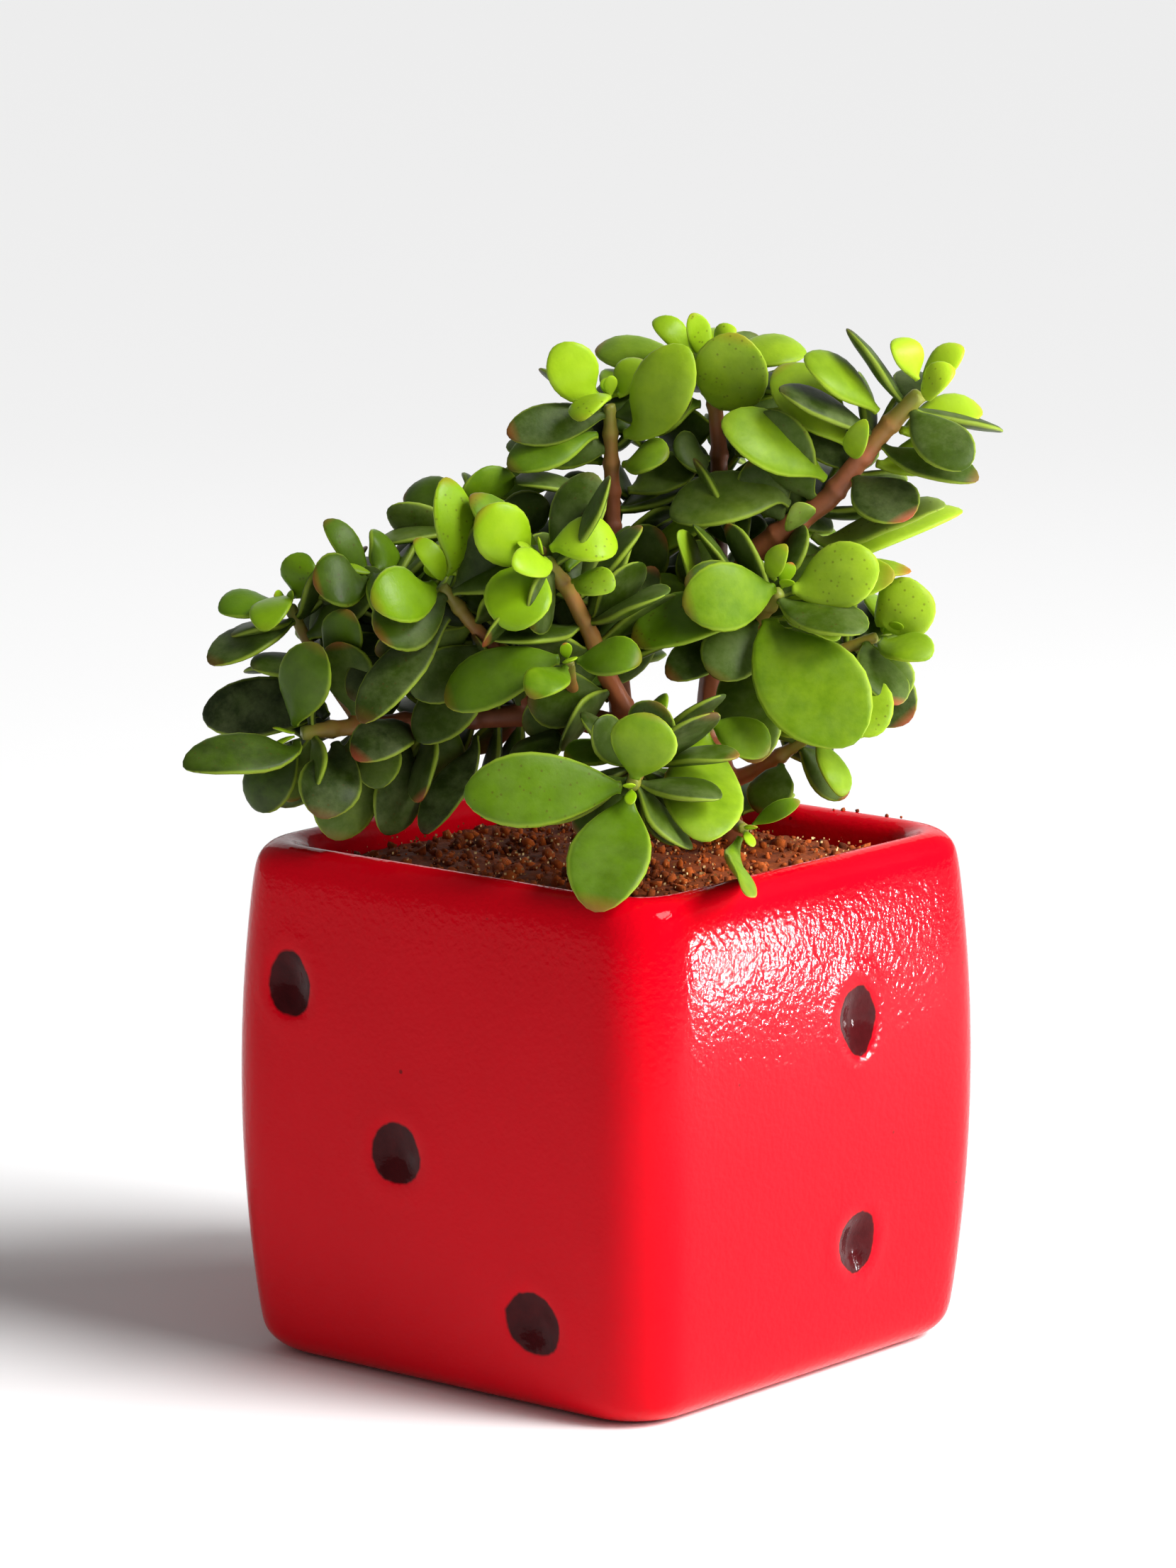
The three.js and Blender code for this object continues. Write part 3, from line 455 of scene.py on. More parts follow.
# %% Lay the bed
SOIL_HALF = soil_high.x / MM - 0.2
SOIL_CORNER = 9
SOIL_TOP = 82
GRID = 100
CLUMP, CLUMP_RISE = 6.5, 0.75        # width and height of the clumps
GRAIN, GRAIN_RISE = 1.7, 0.35        # and of the grains on them
HEAPED = 0.7                         # the bed is this much higher in the middle
WALL_DIP = 1.3                       # and sinks this much to the wall
BED_TAPER = 0.86


def soil_height(x, y):
    """Height of the bed at a place, in millimetres."""
    clumps = noise.fractal(Vector((x, y, 3)) / CLUMP, 0.8, 2.2, 4)
    grains = noise.fractal(Vector((x, y, 9)) / GRAIN, 0.9, 2, 2)
    wall = max(abs(x), abs(y)) / SOIL_HALF
    return SOIL_TOP + HEAPED - WALL_DIP * wall ** 6 + CLUMP_RISE * clumps + GRAIN_RISE * grains


def lay_bed():
    start_clean()
    bpy.ops.mesh.primitive_grid_add(x_subdivisions=GRID, y_subdivisions=GRID, size=2 * SOIL_HALF * MM)
    bed = bpy.context.object
    bed.name = bed.data.name = "coco_peat_bed"
    places = points_of(bed.data) / MM
    inset = SOIL_HALF - SOIL_CORNER
    flat = np.abs(places[:, :2]) - inset
    corner = (flat > 0).all(1)
    reach = np.hypot(flat[:, 0], flat[:, 1])
    square = np.maximum(flat[:, 0], flat[:, 1])
    drawn = np.where(corner, square / np.maximum(reach, 1e-9), 1)
    signs = np.sign(places[:, :2])
    places[:, :2] = np.where(corner[:, None], signs * (inset + flat * drawn[:, None]), places[:, :2])
    places[:, 2] = [soil_height(x, y) for x, y in places[:, :2]]
    put_points(bed.data, places * MM)
    bpy.ops.object.mode_set(mode="EDIT")
    bpy.ops.mesh.select_all(action="SELECT")
    bpy.ops.mesh.region_to_loop()
    floor = soil_low.z / MM
    bpy.ops.mesh.extrude_edges_move(TRANSFORM_OT_translate={"value": (0, 0, -0.05)})
    bpy.ops.transform.resize(value=(BED_TAPER, BED_TAPER, 0), center_override=(0, 0, floor * MM))
    bpy.ops.mesh.edge_face_add()
    bpy.ops.mesh.select_all(action="SELECT")
    bpy.ops.mesh.normals_make_consistent(inside=False)
    bpy.ops.object.mode_set(mode="OBJECT")
    bed.data.shade_smooth()
    bed.data.materials.append(peat)
    set_attribute(bed.data, "shade", np.full(len(bed.data.vertices), 0.25))
    return bed


bed = lay_bed()
finish_piece(bed, "coco_peat", "soil")

# %% [markdown]
# ## Crumbs and fibres
# Loose crumbs and fibres are what makes peat look like peat. One crumb is modelled with a few faces,
# and hundreds of copies are turned, squashed and joined to one mesh. A fibre is a line that curls over
# the crumbs. Only its two ends have faces here, so it shows as two pale flecks and not as a straw.

# %% Scatter crumbs
CRUMBS = 1500
CRUMBS_ON_RIM = 16
SMALLEST_CRUMB, CRUMB_RANGE = 0.28, 1.0


def crumb_shape():
    """Points and faces of one crumb, a coarse ball."""
    start_clean()
    bpy.ops.mesh.primitive_ico_sphere_add(subdivisions=1, radius=1)
    made = bpy.context.object
    places = points_of(made.data)
    faces = [tuple(face.vertices) for face in made.data.polygons]
    bpy.data.objects.remove(made)
    return places, faces


def spin_matrix(rng):
    turn, _ = np.linalg.qr(rng.normal(size=(3, 3)))
    return turn * np.sign(np.linalg.det(turn))


def join_copies(name, parts, material, shades):
    places, faces, shade, start = [], [], [], 0
    for (points, own_faces), value in zip(parts, shades):
        places.append(points)
        faces += [tuple(start + k for k in face) for face in own_faces]
        shade += [value] * len(points)
        start += len(points)
    piece = new_piece(name, np.concatenate(places) * MM, faces, material)
    set_attribute(piece.data, "shade", shade)
    return piece


def scatter_crumbs(rng):
    ball, faces = crumb_shape()
    inset = SOIL_HALF - SOIL_CORNER
    parts = []
    for _ in range(CRUMBS):
        size = SMALLEST_CRUMB + CRUMB_RANGE * rng.random() ** 3
        x, y = rng.uniform(-1, 1, 2) * (SOIL_HALF - 1.5)
        if math.hypot(max(abs(x) - inset, 0), max(abs(y) - inset, 0)) > SOIL_CORNER - 1.5:
            x, y = x * 0.8, y * 0.8
        lumpy = ball * rng.uniform(0.6, 1.3, (len(ball), 1)) * rng.uniform(0.45, 1.3, 3)
        spot = np.array([x, y, soil_height(x, y) + size * 0.35])
        parts.append((lumpy @ spin_matrix(rng).T * size + spot, faces))
    return parts


def spill_on_rim(rng):
    """Crumbs that fell on the lip when the pot was filled, most of them on the far side."""
    ball, faces = crumb_shape()
    parts = []
    for _ in range(CRUMBS_ON_RIM):
        along = rng.uniform(-30, 34)
        x, y = (along, RIM_HALF - rng.uniform(2, 5)) if rng.random() < 0.8 else (-RIM_HALF + 3.4, along)
        size = rng.uniform(0.2, 0.5)
        lumpy = ball * rng.uniform(0.7, 1.2, (len(ball), 1))
        parts.append((lumpy @ spin_matrix(rng).T * size + [x, y, POT_HEIGHT + 0.05 + 0.4 * size], faces))
    return parts


rng = np.random.default_rng(7)
crumb_parts = scatter_crumbs(rng) + spill_on_rim(rng)
crumbs = join_copies("peat_crumbs", crumb_parts, peat, rng.random(len(crumb_parts)))
finish_piece(crumbs, "coco_peat")

# %% Scatter fibres
FIBRES = 330
FIBRE_STEPS = 6
FIBRE_SIDES = 4
FIBRE_ROLL = 0.8
LONG_FIBRE = (28, 20, math.radians(30), 0.08, 0.12)     # x, y, heading, bend and lift of the longest
STARTS_ABOVE, STAYS_ABOVE = 1.6, 1.3                    # of the bed, in millimetres


def fibre_line(x, y, heading, bend, lift, length):
    """The middle line of a fibre that lies on the crumbs and curls as it goes."""
    step = length / FIBRE_STEPS
    z = soil_height(x, y) + STARTS_ABOVE
    line = []
    for _ in range(FIBRE_STEPS + 1):
        line.append((x, y, z))
        x += math.cos(heading) * step
        y += math.sin(heading) * step
        x, y = np.clip([x, y], -SOIL_HALF + 1, SOIL_HALF - 1)
        z = max(z + lift * step, soil_height(x, y) + STAYS_ABOVE)
        heading += bend
        lift -= 0.06
    return np.array(line)


def fibre_ends(line, thick):
    """Points round a fibre's line and the faces of its two ends; its sides have no faces."""
    ahead = np.gradient(line, axis=0)
    beside = np.cross(ahead, [0, 0, 1])
    beside /= np.linalg.norm(beside, axis=1)[:, None] + 1e-9
    above = np.cross(beside, ahead)
    above /= np.linalg.norm(above, axis=1)[:, None] + 1e-9
    angles = [FIBRE_ROLL + 2 * math.pi * q / FIBRE_SIDES for q in range(FIBRE_SIDES)]
    ring = [line + thick * (math.cos(angle) * beside + math.sin(angle) * above) for angle in angles]
    last = FIBRE_SIDES * FIBRE_STEPS
    faces = [tuple(range(FIBRE_SIDES)), tuple(last + q for q in reversed(range(FIBRE_SIDES)))]
    return np.stack(ring, 1).reshape(-1, 3), faces


def scatter_fibres(rng):
    parts = []
    for k in range(FIBRES):
        length = rng.uniform(3, 9) if k else 15
        thick = rng.uniform(0.12, 0.3)
        x, y = rng.uniform(-1, 1, 2) * (SOIL_HALF - 6)
        course = (x, y, rng.uniform(0, 2 * math.pi), rng.normal() * 0.35, rng.uniform(-0.1, 0.3))
        parts.append(fibre_ends(fibre_line(*(course if k else LONG_FIBRE), length), thick))
    return parts


fibre_parts = scatter_fibres(rng)
fibres = join_copies("coco_fibres", fibre_parts, fibre, rng.random(len(fibre_parts)))
finish_piece(fibres, "coco_peat")

# %% [markdown]
# ## Leaf skin
# A jade leaf is a water store in a waxy skin. The wax gives a soft broad highlight and on old leaves a
# greyish bloom; the flesh lets a little light through. Young leaves are lime, shaded ones deep green,
# margins run yellow-green, and sun reddens some tips. Each leaf's tone also holds painted light and
# shade: paler to the lit side, up high and near the viewer, darker inside the plant. All of that
# follows the leaf, so the leaf mesh carries its own map: across, along and side, and three traits:
# a tone, part random and part painted light and shade, a blush and specks.

# %% Waxy leaf skin
def leaf_skin(name, dark, middle, light, bloom, wax):
    material, shader = new_finish(name, Roughness=wax, IOR=1.4, Subsurface_Weight=0.1,
                                  Specular_IOR_Level=0.28,
                                  Subsurface_Scale=0.0012, Subsurface_Radius=(0.5, 1, 0.25))
    place = add(material, "TexCoord").outputs["Object"]
    on_leaf = add(material, "Attribute", attribute_name="leaf_place").outputs["Vector"]
    traits = add(material, "Attribute", attribute_name="leaf_traits").outputs["Vector"]
    where = add(material, "SeparateXYZ", links={0: on_leaf})
    trait = add(material, "SeparateXYZ", links={0: traits})
    # Each leaf has a tone from dark to light, partly random and partly painted light and shade, and the
    # flesh is mottled within it.
    mottle = add(material, "TexNoise", {"Scale": per_metre(4.5), "Detail": 4, "Roughness": 0.6},
                 {"Vector": place})
    uneven = add(material, "MapRange", {"To Min": -0.22, "To Max": 0.22}, {"Value": mottle.outputs[0]})
    tone = add(material, "Math", links={0: trait.outputs[0], 1: uneven.outputs[0]})
    low = add(material, "MapRange", {"From Max": 0.5}, {"Value": tone.outputs[0]})
    high = add(material, "MapRange", {"From Min": 0.5}, {"Value": tone.outputs[0]})
    first = add(material, "Mix", {MIX_A: linear(dark), MIX_B: linear(middle)},
                {MIX_FACTOR: low.outputs[0]}, data_type="RGBA")
    green = add(material, "Mix", {MIX_B: linear(light)},
                {MIX_FACTOR: high.outputs[0], MIX_A: first.outputs[MIX_RESULT]}, data_type="RGBA")
    # Bloom: the wax turns chalky in soft patches.
    dust = add(material, "TexNoise", {"Scale": per_metre(7), "Detail": 6, "Roughness": 0.7},
               {"Vector": place})
    dusty = add(material, "MapRange", {"From Min": 0.42, "From Max": 0.75, "To Max": bloom},
                {"Value": dust.outputs[0]})
    bloomed = add(material, "Mix", {MIX_B: linear("#9dab70")},
                  {MIX_FACTOR: dusty.outputs[0], MIX_A: green.outputs[MIX_RESULT]}, data_type="RGBA")
    # The thin margin lets light through, so it looks yellow-green.
    side = add(material, "Math", links={0: where.outputs[0]}, operation="ABSOLUTE")
    margin = add(material, "MapRange", {"From Min": 0.86, "From Max": 1, "To Max": 0.45},
                 {"Value": side.outputs[0]}, interpolation_type="SMOOTHSTEP")
    edged = add(material, "Mix", {MIX_B: linear("#a9c038")},
                {MIX_FACTOR: margin.outputs[0], MIX_A: bloomed.outputs[MIX_RESULT]}, data_type="RGBA")
    # Sun reddens the tip of some leaves.
    tip = add(material, "MapRange", {"From Min": 0.9, "From Max": 1.0}, {"Value": where.outputs[1]})
    blush = add(material, "Math", links={0: tip.outputs[0], 1: trait.outputs[1]}, operation="MULTIPLY")
    tipped = add(material, "Mix", {MIX_B: linear("#a8442a")},
                 {MIX_FACTOR: blush.outputs[0], MIX_A: edged.outputs[MIX_RESULT]}, data_type="RGBA")
    # Small dark pores show on some leaves.
    pores = add(material, "TexVoronoi", {"Scale": per_metre(1.3), "Randomness": 1}, {"Vector": place})
    pore = add(material, "MapRange", {"From Min": 0.1, "From Max": 0.2, "To Min": 0.5, "To Max": 0},
               {"Value": pores.outputs["Distance"]})
    spotted = add(material, "Math", links={0: pore.outputs[0], 1: trait.outputs[2]}, operation="MULTIPLY")
    colour = add(material, "Mix", {MIX_B: linear("#4a3a12")},
                 {MIX_FACTOR: spotted.outputs[0], MIX_A: tipped.outputs[MIX_RESULT]}, data_type="RGBA")
    feed(material, shader, "Base Color", colour.outputs[MIX_RESULT])
    # A fine grain and shallow dimples keep the highlights soft.
    grain = add(material, "TexNoise", {"Scale": per_metre(0.5), "Detail": 2}, {"Vector": place})
    fine = add(material, "Bump", {"Strength": 0.25, "Distance": 0.05 * MM}, {"Height": grain.outputs[0]})
    soft = add(material, "Bump", {"Strength": 0.5, "Distance": 0.25 * MM},
               {"Height": mottle.outputs[0], "Normal": fine.outputs[0]})
    feed(material, shader, "Normal", soft.outputs[0])
    gloss = add(material, "MapRange", {"To Min": wax - 0.1, "To Max": wax + 0.14},
                {"Value": dust.outputs[0]})
    feed(material, shader, "Roughness", gloss.outputs[0])
    return material


# The old skin's darker greens are partly the leaves' age and partly painted shade: old leaves are the
# shaded ones inside the plant.
SKINS = {
    "young_leaf": leaf_skin("young_leaf_wax", "#507206", "#7a9e0a", "#a6c624", 0.04, 0.36),
    "mature_leaf": leaf_skin("mature_leaf_wax", "#283806", "#577808", "#98b622", 0.08, 0.42),
    "old_leaf": leaf_skin("old_shaded_leaf_wax", "#1b2607", "#3e540b", "#7a8e30", 0.22, 0.48),
}
print([skin.name for skin in SKINS.values()])

# %% [markdown]
# ## One leaf
# A jade leaf is a flattened drop: a short narrow foot, widest past the middle, and a blunt tip. A ball
# is squeezed into it. The ball's poles become the foot and the tip, and each ring of it is resized
# across to the leaf's outline and through to its thickness.

# %% Model the leaf
LEAF_SEGMENTS = 20
LEAF_RINGS = 14
FOOT_WIDTH = 0.17
FOOT_THICKNESS = 0.6
WIDEST_PAST_MIDDLE = 1.6
BLUNTNESS = 0.55


def leaf_outline(s):
    """Width of the leaf at a share of its length, as a part of its widest."""
    return max(math.sin(math.pi * s ** WIDEST_PAST_MIDDLE) ** BLUNTNESS, FOOT_WIDTH if s < 0.5 else 0)


def model_leaf():
    """Points and faces of a leaf: -1 to 1 across, 0 to 1 along and -1 to 1 through."""
    start_clean()
    bpy.ops.mesh.primitive_uv_sphere_add(segments=LEAF_SEGMENTS, ring_count=LEAF_RINGS, radius=1)
    leaf = bpy.context.object
    bpy.ops.object.mode_set(mode="EDIT")
    bpy.ops.mesh.select_all(action="SELECT")
    bpy.ops.transform.rotate(value=math.pi / 2, orient_axis="X", center_override=(0, 0, 0))
    for k in range(1, LEAF_RINGS):
        y = -math.cos(math.pi * k / LEAF_RINGS)
        s = (1 + y) / 2
        work = bmesh.from_edit_mesh(leaf.data)
        for vertex in work.verts:
            vertex.select = abs(vertex.co.y - y) < 1e-4
        work.select_flush(True)
        bmesh.update_edit_mesh(leaf.data)
        round_ring = math.sqrt(1 - y * y)
        thick = max(round_ring, FOOT_THICKNESS if s < 0.5 else 0)
        bpy.ops.transform.resize(value=(leaf_outline(s) / round_ring, 1, thick / round_ring),
                                 center_override=(0, y, 0))
    bpy.ops.mesh.select_all(action="SELECT")
    bpy.ops.mesh.normals_make_consistent(inside=False)
    bpy.ops.object.mode_set(mode="OBJECT")
    places = points_of(leaf.data)
    places[:, 1] = (1 + places[:, 1]) / 2
    faces = [tuple(face.vertices) for face in leaf.data.polygons]
    bpy.data.objects.remove(leaf)
    return places, faces


LEAF_POINTS, LEAF_FACES = model_leaf()
LEAF_WIDEST = np.array([leaf_outline(min(max(s, 0.001), 0.999)) for s in LEAF_POINTS[:, 1]])
print("leaf", len(LEAF_FACES), "faces, points along", LEAF_POINTS[:, 1].min(), LEAF_POINTS[:, 1].max())

# %% [markdown]
# ## Where the leaves grow
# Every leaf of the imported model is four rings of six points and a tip. They are found by walking over
# the mesh from each tip, and they give the leaf's line, its width and which way it faces. The points
# that belong to no leaf are the collar round the stem, which gives the node's middle and direction.

# %% Read the leaves of a node
STOPS = np.array([0, 0.15, 0.4, 0.72, 0.93, 1])         # shares of the length where the rings are
WIDEST = 2                           # the third ring is the widest
AT_WIDEST = 0.95                     # of the full width
RING_POINTS = 6


def merged(node):
    """The node's mesh with its loose triangles joined."""
    work = bmesh.new()
    work.from_mesh(frame["nodes"][node].data)
    bmesh.ops.remove_doubles(work, verts=work.verts, dist=TOUCHING)
    work.verts.ensure_lookup_table()
    work.verts.index_update()
    return work


def rings_from(tip):
    """The rings of points from a leaf's tip down to its root, or nothing if this is no tip."""
    rings, seen = [[tip]], {tip}
    while len(rings) < len(STOPS):
        ring = {edge.other_vert(vertex) for vertex in rings[-1] for edge in vertex.link_edges} - seen
        if len(ring) != RING_POINTS:
            return None
        rings.append(sorted(ring, key=lambda vertex: vertex.index))
        seen |= ring
    return rings


def in_order(ring):
    """The points of a ring one after another round it."""
    line, left = [ring[0]], set(ring[1:])
    while left:
        beside = [edge.other_vert(line[-1]) for edge in line[-1].link_edges]
        following = [vertex for vertex in beside if vertex in left]
        if not following:
            break
        line.append(min(following, key=lambda vertex: (vertex.co - line[-1].co).length))
        left.discard(line[-1])
    return np.array([vertex.co for vertex in line])


def read_ring(points, facing):
    """Middle, facing and width of a ring. Its thin way is the pair of opposite points nearest facing."""
    pairs = [(points[k] - points[k + 3]) for k in range(3)]
    if facing is None:
        k = int(np.argmin([np.linalg.norm(pair) for pair in pairs]))
    else:
        k = int(np.argmax([abs(pair @ facing) / np.linalg.norm(pair) for pair in pairs]))
    normal = pairs[k] / np.linalg.norm(pairs[k])
    if facing is not None and normal @ facing < 0:
        normal = -normal
    others = [points[j] for j in range(RING_POINTS) if j % 3 != k]
    middle = np.mean(others, axis=0)
    width = max(np.linalg.norm(a - b) for a in others for b in others)
    hub = (points[k] + points[k + 3]) / 2
    return middle, normal, width, (middle - hub) @ normal


def read_leaf(tip, levels):
    """Line, facings and width of a leaf. Its facing is settled at the widest ring first."""
    root, levels = levels[0].mean(0), levels[1:]
    middle, normal, width, cup = read_ring(levels[WIDEST], None)
    read = {WIDEST: (middle, normal if cup >= 0 else -normal)}
    for k, beside in ((1, 2), (0, 1), (3, 2)):
        read[k] = read_ring(levels[k], read[beside][1])[:2]
    middles, facings = zip(*[read[k] for k in range(4)])
    return {"spine": np.array([root, *middles, np.array(tip.co)]),
            "facing": np.array([facings[0], *facings, facings[3]]), "width": width / AT_WIDEST}


def read_leaves(node):
    """The leaves of a node, and the middle and axis of its collar."""
    work = merged(node)
    leaves, used = [], set()
    for tip in work.verts:
        rings = rings_from(tip) if len(tip.link_edges) == RING_POINTS else None
        if not rings:
            continue
        levels = [in_order(ring) for ring in reversed(rings[1:])]
        if any(len(level) != RING_POINTS for level in levels):
            continue
        used |= {vertex.index for ring in rings[:-1] for vertex in ring}
        leaves.append(read_leaf(tip, levels))
    collar = np.array([vertex.co for vertex in work.verts if vertex.index not in used])
    middle = collar.mean(0)
    axis = np.linalg.svd(collar - middle)[2][2]
    work.free()
    return leaves, middle, axis


NODES = {name: read_leaves(name) for name in sorted(frame["nodes"]) if name.startswith("leaves_")}
SLOT_OF = {part["node"]: part["material_slot"] for part in frame["record"]["subparts"]}
print(sum(len(leaves) for leaves, _, _ in NODES.values()), "leaves on", len(NODES), "nodes")

# %% [markdown]
# ## Bending a leaf to its place
# A copy of the leaf is laid along each line: along it by the leaf's own length, across and through it
# by its width and thickness. Real leaves cup a little and are never quite flat, so each copy gets its
# own cup and a shallow unevenness.

# %% Lay a leaf along a line
LEAF_THICKNESS = 2.3 * MM
BUILD_UP = 0.27                      # thickness of a narrow leaf as a part of its width
LOOK_AHEAD = 0.02
CUP = (-0.03, 0.14)                  # of half the width
DIMPLE, DIMPLE_SIZE = 0.22 * MM, 5 * MM
# how far the painted light on the leaves reaches across and up
PAINTED_LIGHT_WIDTH, PAINTED_LIGHT_HEIGHT = 0.05, 0.04


def smooth_through(stops, values, at):
    """Values at any place along smooth curves through the stops."""
    slopes = np.gradient(values, stops, axis=0)
    k = np.clip(np.searchsorted(stops, at, side="right") - 1, 0, len(stops) - 2)
    gap = (stops[k + 1] - stops[k])[:, None]
    t = (at - stops[k])[:, None] / gap
    return ((1 + 2 * t) * (1 - t) ** 2 * values[k] + t * (1 - t) ** 2 * gap * slopes[k]
            + t * t * (3 - 2 * t) * values[k + 1] + t * t * (t - 1) * gap * slopes[k + 1])


def unit(vectors):
    return vectors / (np.linalg.norm(vectors, axis=-1, keepdims=True) + 1e-12)


def lay_leaf(leaf, rng):
    """The leaf's points, bent along its line."""
    across, along, through = LEAF_POINTS.T
    spine = smooth_through(STOPS, leaf["spine"], along)
    ahead = smooth_through(STOPS, leaf["spine"], np.clip(along + LOOK_AHEAD, 0, 1))
    ahead = unit(ahead - smooth_through(STOPS, leaf["spine"], np.clip(along - LOOK_AHEAD, 0, 1)))
    facing = unit(smooth_through(STOPS, leaf["facing"], along))
    facing = unit(facing - ahead * (facing * ahead).sum(1)[:, None])
    beside = np.cross(ahead, facing)
    half = leaf["width"] / 2
    thick = min(LEAF_THICKNESS, BUILD_UP * leaf["width"]) / 2
    cup = rng.uniform(*CUP) * half * across ** 2
    places = spine + beside * (across * half)[:, None] + facing * (through * thick + cup)[:, None]
    shift = rng.uniform(0, 50, 3)
    uneven = DIMPLE * np.array([noise.noise(Vector(p / DIMPLE_SIZE + shift)) for p in places])
    return places + facing * (uneven * np.clip(4 * along, 0, 1))[:, None]


def painted_light_tone(leaf, slot, rng):
    """How light a leaf is, in painted light and shade: leaves whose tips reach up, to the lit side or
    towards the viewer are paler, old ones start darker, and each varies at random.
    """
    tip = leaf["spine"][4]
    # painted light: leaves to the lit right and higher up are paler
    painted_sunlight = 0.3 * (tip @ np.array(right)) / PAINTED_LIGHT_WIDTH + 0.12 * (tip[2] - 0.125) / PAINTED_LIGHT_HEIGHT
    # painted light: leaves nearer the viewer are paler
    near = 0.1 * (tip @ np.array(to_viewer)) / PAINTED_LIGHT_WIDTH
    # painted shade: old leaves start darker
    start = {"young_leaf": 0.45, "mature_leaf": 0.42, "old_leaf": 0.34}[slot]
    return float(np.clip(start + painted_sunlight + near + rng.uniform(-0.14, 0.14), 0.02, 1))


def grow(name, leaves, slot, rng, *stands_for):
    """One mesh of several leaves, each with its own tone, blush and specks; the tone holds painted light
    and shade.
    """
    places, faces, on_leaf, traits = [], [], [], []
    for k, leaf in enumerate(leaves):
        start = k * len(LEAF_POINTS)
        places.append(lay_leaf(leaf, rng))
        faces += [tuple(start + v for v in face) for face in LEAF_FACES]
        share = LEAF_POINTS[:, 0] / LEAF_WIDEST
        on_leaf.append(np.stack([share, LEAF_POINTS[:, 1], np.sign(LEAF_POINTS[:, 2])], 1))
        blush = max(rng.normal(0.1, 0.35), 0)
        specks = 1.0 if rng.random() < 0.22 else 0.12
        # the tone is painted light and shade with a random share
        traits.append(np.tile([leaf.get("shade", painted_light_tone(leaf, slot, rng)), blush, specks],
                              (len(LEAF_POINTS), 1)))
    piece = new_piece(name, np.concatenate(places), faces, SKINS[slot])
    set_attribute(piece.data, "leaf_place", np.concatenate(on_leaf))
    set_attribute(piece.data, "leaf_traits", np.concatenate(traits))
    finish_piece(piece, slot, *stands_for)
    return piece


rng = np.random.default_rng(19)
for node, (leaves, _, _) in NODES.items():
    grow(node.replace("leaves_", "foliage_"), leaves, SLOT_OF[node], rng, node)

# %% [markdown]
# ## The inner leaves
# A jade shoot carries a pair of leaves every centimetre or so. The imported model has the leaves that
# give the plant its outline; the pairs between them, in the shade of the plant, are grown here on the
# same stem, with the darker old skin and low tones as painted shade. Each is tried in several
# directions and grows where it is freest.

# %% Grow the inner leaves
def bezier(points, s):
    a, b, c, d = points
    s = np.asarray(s)[:, None]
    return (1 - s) ** 3 * a + 3 * s * (1 - s) ** 2 * b + 3 * s * s * (1 - s) * c + s ** 3 * d


def new_leaf(root, out, direction, length, width, rng, shade):
    """A leaf that leaves the stem straight out and turns to its direction."""
    tip = root + direction * length
    start = [root, root + out * 0.25 * length, root + direction * 0.62 * length, tip]
    facing = unit(np.array([0, 0, 1.0]) + rng.normal(size=3) * 0.75)
    ahead = unit(tip - root)
    facing = unit(facing - ahead * (facing @ ahead))
    start[2] = start[2] + facing * 0.05 * length
    return {"spine": bezier(start, STOPS), "facing": np.tile(facing, (6, 1)), "width": width,
            "shade": shade}


def leaf_samples(leaf):
    """A few points along the middle and near both margins, to tell how close two leaves are."""
    spots = smooth_through(STOPS, leaf["spine"], np.array([0.35, 0.55, 0.75, 0.92]))
    ahead = unit(leaf["spine"][5] - leaf["spine"][1])
    beside = np.cross(ahead, leaf["facing"][3]) * leaf["width"] * 0.36
    return np.concatenate([spots, spots + beside, spots - beside])


def branch_lines():
    """The middles of the nodes of each branch, from its first node to its tip."""
    lines = {}
    for node, (_, middle, _) in NODES.items():
        branch, place = node.removeprefix("leaves_").rsplit("_", 1)
        order = len(NODES) if place == "tip" else int(place)
        lines.setdefault(branch, []).append((order, middle))
    return {branch: [middle for _, middle in sorted(line, key=lambda item: item[0])]
            for branch, line in sorted(lines.items())}


stem_tree = BVHTree.FromPolygons(
    [v.co for v in frame["nodes"]["stem"].data.vertices],
    [p.vertices for p in frame["nodes"]["stem"].data.polygons])
taken = np.concatenate([leaf_samples(leaf) for leaves, _, _ in NODES.values() for leaf in leaves])
box_low, box_high = (np.array(corner) for corner in cad_box)
INNER_PAIR_GAP = 4.8 * MM
SHADE_SIDE = 0.6                     # inner leaves point at most this much towards the viewer
TRIES = 60
LEAVES_PER_RING = 4
LEAST_ROOM = 0.9 * MM
EDGE_ROOM = 1.5 * MM                 # kept free inside the plant's box and above the rim
INNER_LENGTH = (11, 18)
INNER_WIDTH = (7.5, 11.5)


def freest_leaf(middle, axis, rng, taken):
    """Of some leaves tried round the stem, the one farthest from all others."""
    best, best_room = None, LEAST_ROOM
    for _ in range(TRIES):
        roll = rng.normal(size=3)
        out = unit(roll - axis * (roll @ axis))
        direction = unit(out + axis * rng.uniform(0, 0.35) + np.array([0, 0, rng.uniform(-0.25, 0.35)]))
        if direction @ np.array(to_viewer) > SHADE_SIDE:
            continue
        found = stem_tree.find_nearest(Vector(middle + out * 3 * MM))[0]
        root = np.array(found) - out * 0.3 * MM
        length = rng.uniform(*INNER_LENGTH) * MM
        # inner leaves get darker tones, 0.12 to 0.6: painted shade
        leaf = new_leaf(root, out, direction, length, rng.uniform(*INNER_WIDTH) * MM, rng,
                        rng.uniform(0.12, 0.6))
        samples = leaf_samples(leaf)
        inside = (samples > box_low + EDGE_ROOM).all() and (samples < box_high - EDGE_ROOM).all()
        if not inside or samples[:, 2].min() < pot_high.z + EDGE_ROOM:
            continue
        room = np.linalg.norm(samples[:, None] - taken[None], axis=2).min()
        if room > best_room:
            best, best_room = leaf, room
    return best


